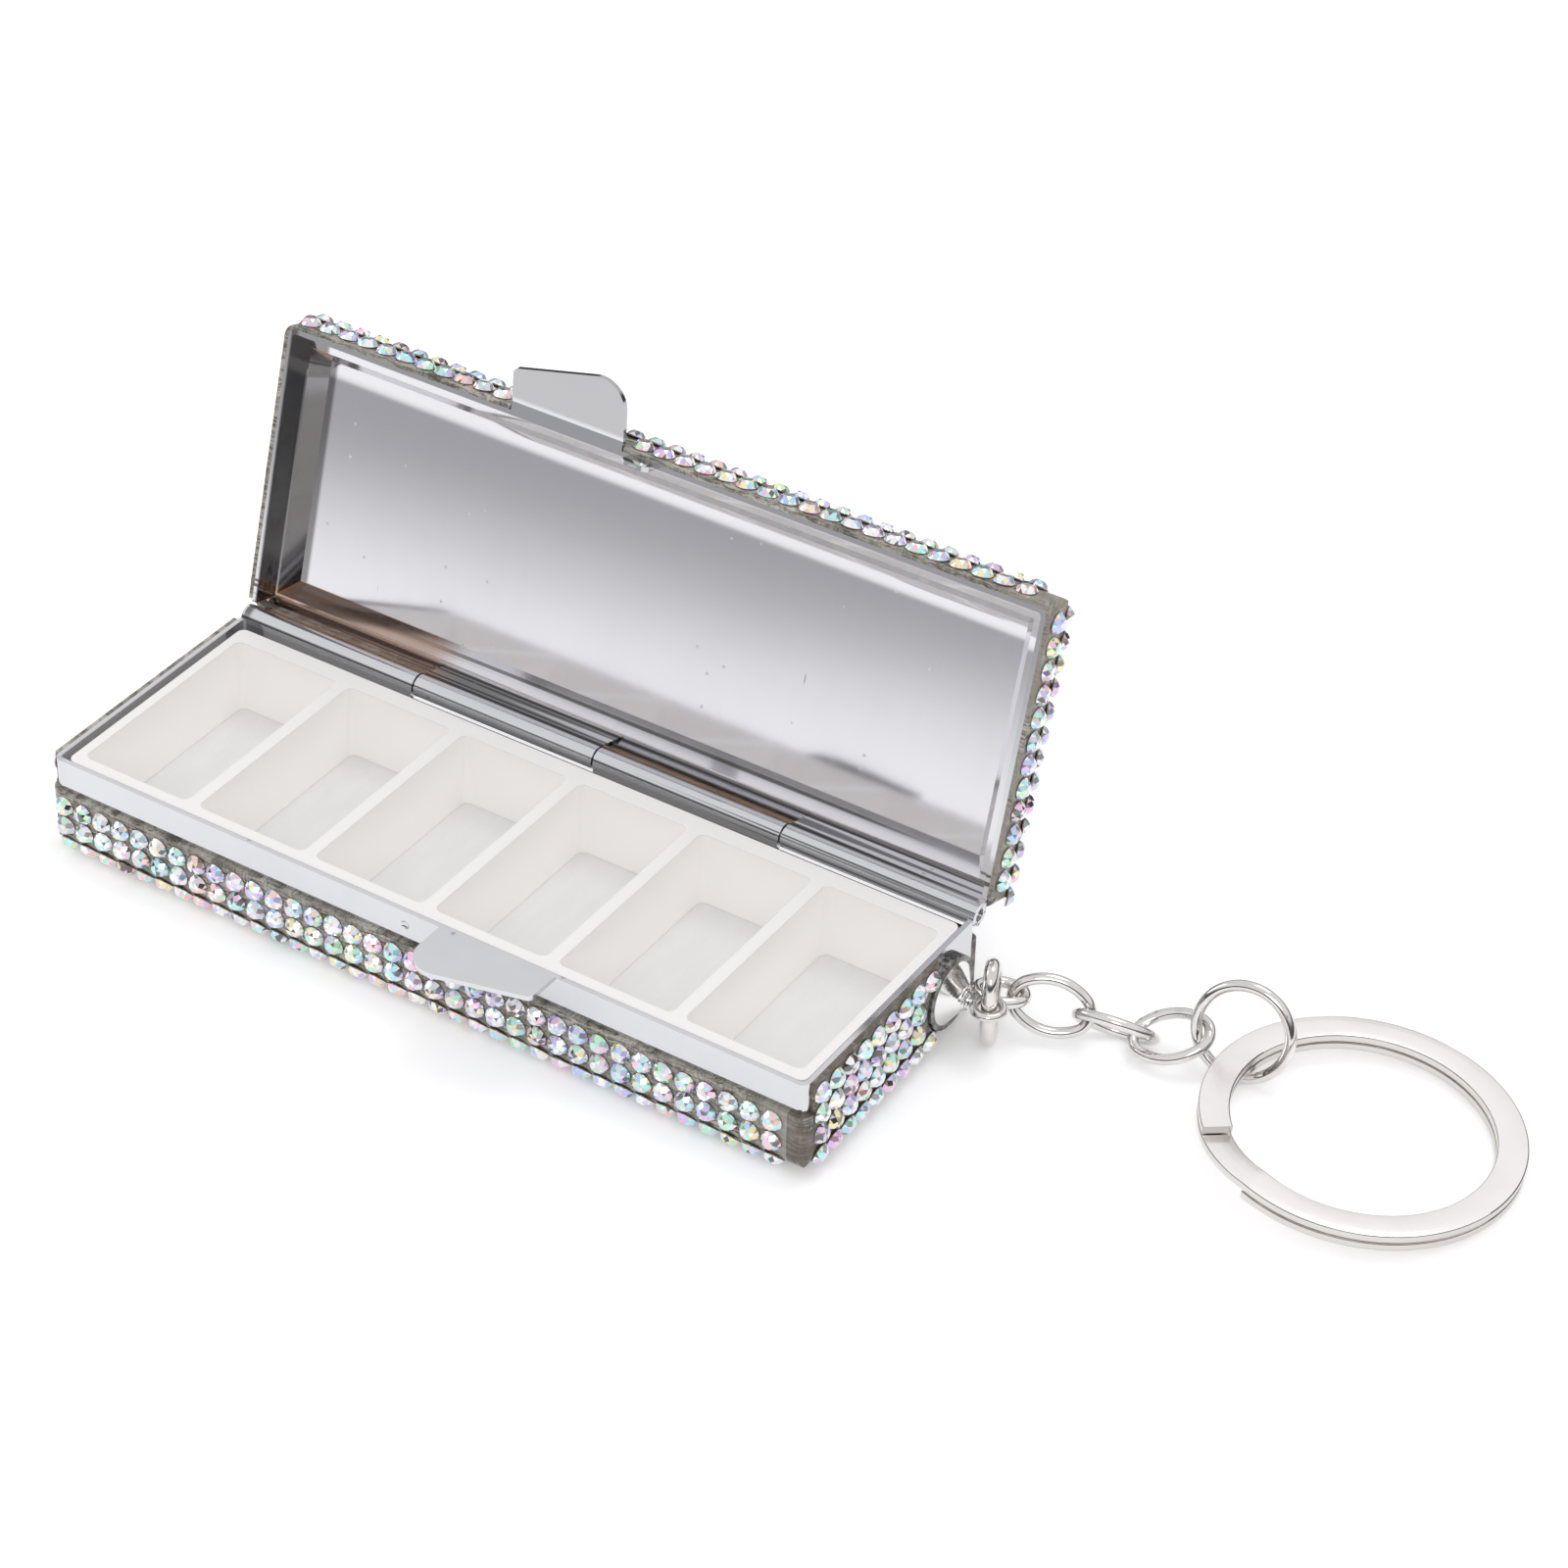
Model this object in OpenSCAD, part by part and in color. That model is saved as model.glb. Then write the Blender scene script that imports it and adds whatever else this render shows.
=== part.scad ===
// Pill case covered in crystal mesh, shown open, with its chain and split key ring.
// The case stands on its underside at z = 0, centred on x = y = 0.
// X runs along the case towards the chain, Y towards the hinge, Z is up. Millimetres.

/* [Case] */
// Length of the base and of the lid
case_l = 85; // [78:0.5:95]
// Width of the base from front to back
case_w = 28.8; // [27:0.1:34]
// Height of the base rim above the table
rim_z = 10.8; // [10.4:0.1:13]
// Thickness of the pressed sheet
sheet_t = 0.5; // [0.4:0.05:0.6]
// Outside radius of the folded edges
fold_r = 1.6; // [1.2:0.1:2]
// Outside radius of the upright corners
corner_r = 0.9; // [0.7:0.1:1.3]

/* [Lid] */
// Angle the lid stands open, counted from closed
lid_open = 106.4; // [0:0.1:110]
// Depth of the lid from its rim to its top
lid_depth = 4.3; // [4.1:0.1:6]
// How far the lid reaches past the front of the base
lid_over = 0.63; // [0.6:0.01:1]
// Gap between the closed lid's rim and the base rim
rim_gap = 0.15; // [0.1:0.05:0.4]
// Depth of the ledge round the lid's mirror panel, below the lid rim
ledge_depth = 1.55; // [1.2:0.05:2]
// Width of that ledge
ledge_w = 1.3; // [0.8:0.1:2]
// Run of the sloped border between the ledge and the mirror
border_run = 1.3; // [0.8:0.1:2]
// Depth of the sloped border
border_depth = 1.85; // [1.2:0.05:1.9]
// Thickness of the mirror panel's sheet
panel_t = 0.25; // [0.2:0.05:0.3]

/* [Hinge] */
// Outside radius of the rolled knuckles
knuckle_r = 1.15; // [1.1:0.01:1.3]
// How far the hinge axis stands behind the walls it joins
knuckle_out = 0.67; // [0.66:0.01:0.75]
// Depth of the hinge axis below the base rim
hinge_drop = 0.3; // [0.2:0.05:0.6]
// Number of knuckles, shared in turn by base and lid
knuckles = 4; // [2:2:8]
// Gap between neighbouring knuckles
knuckle_gap = 0.2; // [0.1:0.05:0.4]
// Radius of the hinge pin
pin_r = 0.56; // [0.45:0.01:0.58]
// Running clearance between the pin and the knuckles
pin_gap = 0.06; // [0.03:0.01:0.08]
// How far the pin ends short of the knuckles at each end
pin_short = 0.4; // [0.2:0.1:2]

/* [Thumb tabs and catch] */
// Length of a thumb tab
tab_l = 12.7; // [8:0.1:16]
// Depth of a thumb tab at its deep corner
tab_d = 5.85; // [4.5:0.05:7]
// Radius of the deep corner
tab_r = 2.8; // [1.5:0.1:3]
// Radius of the shallow corner
tab_tip_r = 0.7; // [0.4:0.1:1]
// Slant of the tab's outer edge
tab_slant = 14; // [5:1:16]
// Distance from the middle of the case to the base tab
base_tab_x = 3; // [2:0.1:8]
// Distance from the middle of the case to the lid tab
lid_tab_x = 3.4; // [3:0.1:8]
// Width of the flat strip at the root of the lid tab
tab_root = 0.9; // [0.5:0.1:1.5]
// Downward tilt of the lid tab past that strip
tab_tilt = 12; // [0:1:20]
// Width of the catch tongue on the lid
tongue_w = 3; // [2:0.1:4]
// Length of the catch tongue below the lid rim
tongue_l = 1.9; // [1.5:0.1:2.4]
// Sideways place of the catch tongue
tongue_x = -0.9; // [-1.2:0.1:0]
// Radius of the dimple and nub of the catch
dimple_r = 0.45; // [0.3:0.05:0.6]

/* [Pill insert] */
// Number of compartments
cells = 6; // [3:1:7]
// Thickness of the dividers
divider_t = 1.3; // [0.9:0.05:1.8]
// Thickness of the insert's end walls
insert_end_t = 1; // [0.8:0.05:1.4]
// Thickness of the insert's front wall
insert_front_t = 1.2; // [0.9:0.05:1.6]
// Thickness of the insert's back wall
insert_back_t = 1.9; // [1:0.05:2.2]
// Thickness of the insert's floor
insert_floor_t = 0.9; // [0.7:0.05:1.5]
// Radius of the compartment corners
cell_r = 0.8; // [0.5:0.1:1.5]
// Play between the insert and the right end wall
insert_play = 0.07; // [0.05:0.01:0.3]
// Play between the insert and the left end wall
insert_play_left = 0.85; // [0.3:0.05:1.2]
// Play between the insert and the front wall
insert_play_front = 0.05; // [0.04:0.01:0.3]
// Room between the insert and the back wall
insert_room_back = 1.35; // [0.8:0.05:1.6]

/* [Crystal mesh] */
// Thickness of the mesh backing
mesh_t = 0.45; // [0.3:0.05:0.6]
// Diameter of a stone
stone_d = 2; // [1.6:0.1:2.1]
// Diameter of a stone's flat top
table_d = 1.1; // [0.8:0.1:1.3]
// Height of a stone above the backing
stone_h = 0.75; // [0.5:0.05:1]
// Spacing of the stones
pitch = 2.3; // [2.2:0.05:3]
// From an edge of the mesh to the centres of the first row
row_margin = 1.5; // [1.1:0.1:2]
// Bare chrome below the front rim
front_band = 3.4; // [2.6:0.1:4]
// Bare chrome below the back rim, under the hinge
back_band = 2.4; // [2.2:0.1:3.5]
// Clear height above the hinge axis where the lid's back mesh starts
lid_back_clear = 1.5; // [1.4:0.05:1.8]
// Bare mesh at the front's right-hand corner
right_bare = 3.1; // [2:0.1:4]
// Bare mesh at the other corners
left_bare = 1.4; // [1.1:0.1:2]

/* [Chain post] */
// Distance of the post's axis in from the back wall
post_in = 5.1; // [4.8:0.1:6.4]
// Height of the post's axis
post_z = 5.6; // [5.2:0.1:6]
// Radius of the post's mouth
post_r = 3.7; // [3:0.1:3.8]
// Thickness of the flange at the mouth
post_flange = 0.7; // [0.5:0.1:1]
// Length of the bell from the flange to the neck
post_bell = 2.1; // [1.6:0.1:3]
// Radius of the neck
post_neck_r = 0.9; // [0.8:0.05:1.2]
// Centreline radius of the eye
eye_r = 1.35; // [1.3:0.05:1.6]
// Radius of the eye's wire
eye_wire = 0.42; // [0.35:0.01:0.45]
// Clear width beside the right-hand mesh, in front of the post
post_bare = 2.3; // [2:0.1:3]

/* [Chain] */
// Radius of the chain's wire
wire_r = 0.55; // [0.45:0.01:0.6]
// Half length and half width of a chain link, along the wire's centre
link_size = [3.7, 2.5]; // [2:0.1:6]
// Half length and half width of the small first link
small_size = [2.25, 1.75]; // [1.6:0.05:3]
// End radius of a chain link
link_end_r = 1.9; // [1.5:0.1:2.2]
// End radius of the small first link
small_end_r = 1.4; // [1.3:0.1:1.5]
// Centreline radius of the jump ring
jump_r = 4.45; // [4:0.05:5]
// Gap between two wires that hook into each other
hook_gap = 0.15; // [0.12:0.01:0.3]
// Radius of the upright ring's wire
ring_wire = 0.75; // [0.6:0.01:0.78]
// Half height and half width of the upright ring
ring_size = [3.95, 1.95]; // [1.5:0.05:4.5]
// End radius of the upright ring
ring_end_r = 1.5; // [1.2:0.1:1.8]

/* [Key ring] */
// Outside diameter of the key ring
key_d = 29.6; // [26:0.1:34]
// Width of its flat strip
strip_w = 2.8; // [2:0.1:3]
// Thickness of the strip
strip_t = 1.1; // [0.8:0.05:1.2]
// Gap between its two turns
turn_gap = 0.1; // [0.05:0.01:0.2]
// Angle taken by the step from one turn to the other
step_angle = 30; // [20:1:45]
// Place of the strip's upper end
end_angle = 221; // [190:1:330]

/* [Hidden] */

half_l = case_l / 2;
half_w = case_w / 2;
// The sheet's underside stands clear of the table by the mesh and its stones
under_z = mesh_t + stone_h;
inner_z = under_z + sheet_t;
hinge_y = half_w + knuckle_out;
hinge_z = rim_z - hinge_drop;
knuckle_l = case_l / knuckles;
bore_r = pin_r + pin_gap;
// Walls stop this far short of the other half's knuckles
swing_gap = 0.15;

// Lid sizes, in the closed lid's own frame: y = 0 and z = 0 on the hinge axis, the front towards -y
lid_rim = rim_gap + hinge_drop;
lid_top = lid_rim + lid_depth;
lid_back = knuckle_out;
lid_front = hinge_y + half_w + lid_over;
lid_w = lid_front - lid_back;
lid_mid = (lid_front + lid_back) / 2;
ledge_z = lid_rim + ledge_depth;
notch_rise = 0.3;
notch_top = ledge_z + notch_rise;
leaf_lap = 0.5;

// Edges of the mesh and lengths of its straight stretches
front_edge = rim_z - front_band;
back_edge = rim_z - back_band;
mesh_r = fold_r + mesh_t;
fold_z = under_z + fold_r;
fold_arc = mesh_r * PI / 2;
base_run = (front_edge - fold_z) + (back_edge - fold_z) + case_w - 2 * fold_r + 2 * fold_arc;
lid_fold_z = lid_top - fold_r;
lid_run = (lid_fold_z - lid_rim) + (lid_fold_z - lid_back_clear) + lid_w - 2 * fold_r + 2 * fold_arc;
// Where the mesh is parted, just inside the folds
part_x = half_l - fold_r;
part_y = half_w - fold_r;
eps = 0.01;
smooth = 32;

// Stones
stone_sink = 0.05;
end_inset = left_bare + 0.4;
columns = steps(-half_l + left_bare, half_l - right_bare, pitch);
base_rows = [for (s = [row_margin:pitch:base_run - stone_d / 2]) s];
lid_rows = [for (s = [row_margin:pitch:lid_run - stone_d / 2]) s];
base_front_run = front_edge - fold_z + fold_arc;
base_back_run = back_edge - fold_z + fold_arc;
lid_front_run = lid_fold_z - lid_rim + fold_arc;
lid_back_run = lid_fold_z - lid_back_clear + fold_arc;
end_rows = steps(row_margin, rim_z - fold_z + pitch / 4, pitch);
end_ys = steps(-half_w + end_inset, half_w - end_inset, pitch);
lid_end_rows = [row_margin, row_margin + pitch];
lid_end_ys = steps(-lid_front + left_bare, -lid_back - left_bare + mesh_t + stone_h, pitch);

// Catch
dimple_depth = 0.2;
nub_h = 0.1;
dimple_ball = (dimple_r * dimple_r + dimple_depth * dimple_depth) / (2 * dimple_depth);
dimple_drop = 1.55;
tongue_chamfer = 0.5;

// Insert
cell_w = (case_l - 2 * sheet_t - insert_play - insert_play_left - 2 * insert_end_t
  - (cells - 1) * divider_t) / cells;
insert_l = cells * cell_w + (cells - 1) * divider_t + 2 * insert_end_t;
insert_w = case_w - 2 * sheet_t - insert_play_front - insert_room_back;
insert_x = half_l - sheet_t - insert_play - insert_l;
insert_y = -half_w + sheet_t + insert_play_front;
post_y = half_w - post_in;
// Its lower edges are rounded a little more than the folds they sit in
insert_ease = 0.1;

// Post: lathe grooves in the bell, and the eye's stem in its bore
grooves = 10;
groove_depth = 0.07;
groove_step = 0.4;
post_lip = 0.5;
post_taper = 1.6;
stem_l = 1.4;
stem_r = 0.4;
stem_gap = 0.02;

// Chain: each piece hooks round the one before, at a yaw, a downward slope and a lean of its own
post_end = half_l + post_flange + post_bell;
eye_c = [post_end + eye_r + eye_wire, post_y, post_z];
ring_yaw = 114;
ring_dir = [cos(ring_yaw), sin(ring_yaw), 0];
// Upright ring stands on the table with one side through the eye
table_gap = 0.02;
ring_c = [eye_c.x, eye_c.y, ring_size.x + ring_wire + table_gap] + ring_size.y * ring_dir;
hook_z = 4.55;
link_yaw = [22, 21, 19, 16, 15];
link_slope = [4, 12, 11, -18, -20];
link_lean = [-7, 68, -48, 20, 72];
link_slack = [0, 0, 0, 0.8, 0];
link_half = [small_size.x, link_size.x, link_size.x, link_size.x, jump_r];
link_dir = [for (i = [0:4]) [cos(link_yaw[i]) * cos(link_slope[i]),
  sin(link_yaw[i]) * cos(link_slope[i]), -sin(link_slope[i])]];
hook_half = wire_r + hook_gap / 2;
function link_c(i) = i == 0
  ? [ring_c.x, ring_c.y, hook_z] + ring_size.y * ring_dir
    + (link_half[0] - ring_wire - wire_r - hook_gap) * link_dir[0]
  : link_c(i - 1) + (link_half[i - 1] - hook_half) * link_dir[i - 1]
    + (link_half[i] - hook_half - link_slack[i]) * link_dir[i];
lap_swell = 0.004;
lap_angle = 2;

// Key ring, tilted where the jump ring lifts it: key_drop is from the jump ring's middle down to its own,
// and key_rise is the height by which one edge is lifted
key_mid_r = (key_d - strip_w) / 2;
key_lift = strip_t + turn_gap;
key_hook = 0.5832;
key_yaw = -11.55;
key_drop = 3.78;
key_c = link_c(4) + [(key_mid_r + key_hook) * cos(key_yaw), (key_mid_r + key_hook) * sin(key_yaw), -key_drop];
key_rise = 1.0839;
key_tilt = asin(2 * key_rise / key_d);
key_tilt_dir = 212;
step_run = key_mid_r * step_angle * PI / 180;
step_lap = 1;
// The strip is worn a little thinner and narrower along the step
step_thin = 0.08;
step_narrow = 0.03;

// Section across a pan: straight walls and rounded lower corners, its bottom at y = 0
module u_outline(w, h, r) {
  translate([-w / 2, r]) square([w, h - r]);
  translate([-w / 2 + r, 0]) square([w - 2 * r, h]);
  for (s = [-1, 1])
    translate([s * (w / 2 - r), r]) circle(r, $fn = smooth);
}

// Rectangle with rounded corners, seen from above
module plan_outline(l, w, r) {
  square([l - 2 * r, w], center = true);
  square([l, w - 2 * r], center = true);
  for (x = [-1, 1], y = [-1, 1])
    translate([x * (l / 2 - r), y * (w / 2 - r)]) circle(r, $fn = smooth);
}

// Solid block with folded lower edges and rounded upright corners, its underside at z = 0
module pan(l, w, h, edge_r, upright_r) {
  intersection() {
    linear_extrude(h) plan_outline(l, w, upright_r);
    translate([-l / 2, 0, 0]) rotate([90, 0, 90]) linear_extrude(l) u_outline(w, h, edge_r);
    translate([0, w / 2, 0]) rotate([90, 0, 0]) linear_extrude(w) u_outline(l, h, edge_r);
  }
}

module base_block(grow) {
  translate([0, 0, under_z - grow])
    pan(case_l + 2 * grow, case_w + 2 * grow, rim_z - under_z + grow, fold_r + grow, corner_r + grow);
}

module lid_block(grow) {
  translate([0, -lid_mid, lid_top + grow]) mirror([0, 0, 1])
    pan(case_l + 2 * grow, lid_w + 2 * grow, lid_depth + grow, fold_r + grow, corner_r + grow);
}

// Carries the lid and all that turns with it
module open_lid() {
  translate([0, hinge_y, hinge_z]) rotate([-lid_open, 0, 0]) children();
}

// Box given by its corners
module span(a, b) {
  translate(a) cube(b - a);
}

module knuckle(i) {
  translate([-half_l + i * knuckle_l + knuckle_gap / 2, 0, 0]) rotate([0, 90, 0])
    cylinder(r = knuckle_r, h = knuckle_l - knuckle_gap, $fn = 48);
}

module pin_bore() {
  translate([-half_l - 1, 0, 0]) rotate([0, 90, 0]) cylinder(r = bore_r, h = case_l + 2, $fn = 48);
}

// Tongue-shaped thumb tab, its root along the x axis and its deep corner near x = 0
module tab_outline() {
  deep = [tab_r, tab_d - tab_r];
  // The straight edge runs a hair inside the two circles, so that it crosses them cleanly
  edge = deep + (tab_r - eps) * [sin(tab_slant), cos(tab_slant)];
  // The slanted edge meets the shallow corner's circle at the same angle
  tip_x = tab_l - tab_tip_r;
  tip_y = edge.y - (tip_x - edge.x) * tan(tab_slant) - (tab_tip_r - eps) / cos(tab_slant);
  tip = [tip_x, tip_y];
  tip_edge = tip + (tab_tip_r - eps) * [sin(tab_slant), cos(tab_slant)];
  translate(deep) circle(tab_r, $fn = smooth);
  translate(tip) circle(tab_tip_r, $fn = smooth);
  polygon([[0, -eps], [0, deep.y], deep, edge, tip_edge, tip, [tab_l, tip.y], [tab_l, -eps]]);
}

module base_tab() {
  translate([base_tab_x, -half_w + sheet_t / 2, rim_z]) mirror([0, 1, 0]) mirror([0, 0, 1])
    linear_extrude(sheet_t) {
      translate([0, sheet_t / 2]) tab_outline();
      square([tab_l, sheet_t / 2 + eps]);
    }
}

module lid_tab() {
  mirror([1, 0, 0]) translate([lid_tab_x, -lid_front, lid_rim]) {
    translate([0, -tab_root, 0]) cube([tab_l, tab_root + sheet_t / 2, sheet_t]);
    translate([0, -tab_root, 0]) rotate([tab_tilt, 0, 0]) mirror([0, 1, 0])
      linear_extrude(sheet_t) tab_outline();
  }
}

module base_shell() color("silver") {
  difference() {
    union() {
      difference() {
        base_block(0);
        translate([0, 0, sheet_t]) pan_cavity();
        // Back wall cut away under the lid's knuckles
        for (i = [1:2:knuckles - 1])
          span([-half_l + i * knuckle_l - swing_gap, half_w - sheet_t - swing_gap,
              hinge_z - knuckle_r - swing_gap],
            [i == knuckles - 1 ? half_l + 1 : -half_l + (i + 1) * knuckle_l + swing_gap,
              half_w + 1, rim_z + 1]);
        // Back wall ends level with the hinge axis where its own knuckles roll over it
        for (i = [0:2:knuckles - 2])
          span([-half_l + i * knuckle_l + swing_gap, half_w - sheet_t - eps, hinge_z],
            [-half_l + (i + 1) * knuckle_l, half_w + 1, rim_z + 1]);
      }
      for (i = [0:2:knuckles - 2])
        translate([0, hinge_y, hinge_z]) knuckle(i);
      base_tab();
    }
    translate([0, hinge_y, hinge_z]) pin_bore();
    catch_ball(-half_w - (dimple_ball - dimple_depth), rim_z - dimple_drop);
  }
}

module pan_cavity() {
  translate([0, 0, under_z])
    pan(case_l - 2 * sheet_t, case_w - 2 * sheet_t, rim_z, fold_r - sheet_t, corner_r - sheet_t);
}

// Catch: a nub on the tongue drops into a dimple in the base
module catch_ball(y, z) {
  translate([tongue_x, y, z]) sphere(dimple_ball, $fn = smooth);
}

module hinge_pin() color("gainsboro")
  translate([-half_l + pin_short, hinge_y, hinge_z]) rotate([0, 90, 0])
    cylinder(r = pin_r, h = case_l - 2 * pin_short, $fn = 48);

module pill_insert() color("white")
  difference() {
    translate([insert_x + insert_l / 2, insert_y + insert_w / 2, inner_z])
      pan(insert_l, insert_w, rim_z - inner_z, fold_r - sheet_t + insert_ease, cell_r);
    for (i = [0:cells - 1])
      translate([insert_x + insert_end_t + i * (cell_w + divider_t) + cell_w / 2,
          insert_y + insert_front_t + (insert_w - insert_front_t - insert_back_t) / 2,
          inner_z + insert_floor_t])
        linear_extrude(rim_z)
          plan_outline(cell_w, insert_w - insert_front_t - insert_back_t, cell_r);
  }

module lid_shell() color("silver") open_lid()
  difference() {
    union() {
      difference() {
        lid_block(0);
        translate([0, -lid_mid, lid_top - sheet_t]) mirror([0, 0, 1])
          pan(case_l - 2 * sheet_t, lid_w - 2 * sheet_t, lid_depth + 1, fold_r - sheet_t,
            corner_r - sheet_t);
        // Back wall cut away over the base's knuckles
        for (i = [0:2:knuckles - 2])
          span([i == 0 ? -half_l - 1 : -half_l + i * knuckle_l - swing_gap,
              -lid_back - sheet_t - swing_gap, -1],
            [-half_l + (i + 1) * knuckle_l + swing_gap, 1, notch_top]);
      }
      for (i = [1:2:knuckles - 1]) {
        knuckle(i);
        // Leaf of the back wall that rolls into the knuckle
        span([-half_l + i * knuckle_l + knuckle_gap / 2 + eps, -lid_back - sheet_t + eps, 0],
          [-half_l + (i + 1) * knuckle_l - knuckle_gap / 2 - eps, -lid_back, lid_rim + leaf_lap]);
      }
      lid_tab();
      catch_tongue();
    }
    pin_bore();
  }

module catch_tongue() {
  translate([tongue_x, -lid_front, lid_rim + sheet_t]) rotate([-90, 0, 0])
    linear_extrude(sheet_t)
      polygon([[-tongue_w / 2, 0],
        [-tongue_w / 2, sheet_t + tongue_l - tongue_chamfer],
        [-tongue_w / 2 + tongue_chamfer, sheet_t + tongue_l],
        [tongue_w / 2 - tongue_chamfer, sheet_t + tongue_l],
        [tongue_w / 2, sheet_t + tongue_l - tongue_chamfer],
        [tongue_w / 2, 0]]);
  // The nub's ball is cut flush with the tongue's outer face
  intersection() {
    catch_ball(-lid_front + sheet_t + nub_h - dimple_ball, -dimple_drop + hinge_drop);
    span([tongue_x - tongue_w / 2, -lid_front + sheet_t / 2, -tongue_l], [tongue_x + tongue_w / 2, 0, 0]);
  }
}

// Tapered block under a ledge opening, given at the ledge and at the mirror
module border_block(grow, top_z) {
  x_out = half_l - sheet_t - ledge_w + grow;
  y_out = lid_w / 2 - sheet_t - ledge_w + grow;
  x_in = x_out - border_run;
  y_in = y_out - border_run;
  intersection() {
    translate([0, -lid_mid + case_l / 2, 0]) rotate([90, 0, 0]) linear_extrude(case_l)
      polygon([[-x_out, ledge_z], [x_out, ledge_z], [x_in, top_z], [-x_in, top_z]]);
    translate([-case_l / 2, -lid_mid, 0]) rotate([90, 0, 90]) linear_extrude(case_l)
      polygon([[-y_out, ledge_z], [y_out, ledge_z], [y_in, top_z], [-y_in, top_z]]);
  }
}

module lid_panel() color("lightsteelblue") open_lid()
  difference() {
    union() {
      translate([0, -lid_mid, ledge_z]) linear_extrude(panel_t)
        plan_outline(case_l - 2 * sheet_t, lid_w - 2 * sheet_t, corner_r - sheet_t);
      border_block(panel_t, ledge_z + border_depth + panel_t);
    }
    border_block(0, ledge_z + border_depth);
  }

// Skin of the mesh backing round the base, before it is parted
module base_skin() {
  difference() {
    base_block(mesh_t);
    base_block(0);
    // Bare bands below the rim at front and back
    span([-half_l - 1, -half_w - 1, front_edge], [half_l + 1, -half_w + corner_r, rim_z + 1]);
    span([-half_l - 1, half_w - corner_r, back_edge], [half_l + 1, half_w + 1, rim_z + 1]);
  }
}

module base_mesh_front() color("dimgray")
  intersection() {
    base_skin();
    span([-part_x, -half_w - 1, -1], [part_x, -part_y, rim_z + 1]);
  }

module base_mesh_back() color("dimgray")
  intersection() {
    base_skin();
    span([-part_x, part_y, -1], [part_x, half_w + 1, rim_z + 1]);
  }

// The case rests on the stones under it, which are set in the sheet
module base_mesh_under() color("dimgray")
  difference() {
    union() {
      span([-part_x, -part_y, under_z - mesh_t], [part_x, part_y, under_z]);
      for (s = base_rows)
        if (s > base_front_run && s < base_run - base_back_run)
          for (x = columns)
            translate([x, -half_w - mesh_t + mesh_fold(s, front_edge - fold_z).x, stone_h + stone_sink])
              rotate([180, 0, 0]) stone(stone_sink);
    }
    // Stones that reach past the sheet's edges stay under the sheets beside it
    difference() {
      span([-half_l, -half_w, under_z - mesh_t], [half_l, half_w, rim_z]);
      span([-part_x, -part_y, under_z - mesh_t - 1], [part_x, part_y, rim_z + 1]);
    }
  }

module base_mesh_left() color("dimgray")
  intersection() {
    base_skin();
    span([-half_l - 1, -half_w - 1, -1], [-part_x, half_w + 1, rim_z + 1]);
  }

module base_mesh_right() color("dimgray")
  difference() {
    intersection() {
      base_skin();
      span([part_x, -half_w - 1, -1], [half_l + 1, half_w + 1, rim_z + 1]);
    }
    // Bare chrome round the post
    span([half_l - eps, post_y - post_bare, fold_z], [half_l + 1, half_w + 1, rim_z + 1]);
    translate([half_l - 1, post_y, post_z]) rotate([0, 90, 0])
      cylinder(r = post_r + swing_gap, h = 2, $fn = 48);
  }

// Stones follow the mesh from one edge round the folds to the other.
// s is the length along the sheet from its edge, wall the straight stretch before the fold.
// The result is the distance inwards, the distance down from the edge and the tilt of the stone.
function mesh_fold(s, wall) =
  s < wall ? [0, s, 0]
  : s < wall + fold_arc
    ? let (t = (s - wall) / mesh_r * 180 / PI) [mesh_r * (1 - cos(t)), wall + mesh_r * sin(t), t]
    : [mesh_r + s - wall - fold_arc, wall + mesh_r, 90];
function steps(a, b, gap) = let (n = floor((b - a) / gap + 0.5)) [for (i = [0:n]) a + (b - a) * i / n];

// Flat-backed stone with a sloped crown and a flat top
module stone(sink = 0) {
  cylinder(d1 = stone_d, d2 = table_d, h = stone_h + sink, $fn = 24);
}

module base_row(s) {
  front = s < base_run / 2;
  at = front ? mesh_fold(s, front_edge - fold_z) : mesh_fold(base_run - s, back_edge - fold_z);
  side = front ? -1 : 1;
  for (x = columns)
    translate([x, side * (half_w + mesh_t - at.x), (front ? front_edge : back_edge) - at.y])
      rotate([-side * (90 + at.z), 0, 0]) stone();
}

module base_stones_front() color("lightcyan")
  for (s = base_rows)
    if (s <= base_front_run) base_row(s);

module base_stones_back() color("lightcyan")
  for (s = base_rows)
    if (s >= base_run - base_back_run) base_row(s);

module end_stone(side, y, s) {
  at = mesh_fold(s, rim_z - fold_z);
  translate([side * (half_l + mesh_t - at.x), y, rim_z - at.y]) rotate([0, side * (90 + at.z), 0]) stone();
}

module base_stones_left() color("lightcyan")
  for (y = end_ys, s = end_rows) end_stone(-1, y, s);

// No stones on the bare chrome round the post
module base_stones_right() color("lightcyan")
  for (y = end_ys, s = end_rows)
    if (y < post_y - post_bare - stone_d / 2
        && norm([y - post_y, rim_z - s - post_z]) > post_r + stone_d / 2 + swing_gap)
      end_stone(1, y, s);

module lid_skin() {
  difference() {
    lid_block(mesh_t);
    lid_block(0);
    // Clear of the hinge along the back
    span([-half_l - 1, -lid_back - corner_r, -1], [half_l + 1, 1, lid_back_clear]);
  }
}

// Mesh stops at the thumb tab's root along the front rim
module lid_tab_relief() {
  span([-lid_tab_x - tab_l - swing_gap, -lid_front - 1, -1],
    [-lid_tab_x + swing_gap, -lid_front + sheet_t / 2, lid_rim + sheet_t + eps]);
}

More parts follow.
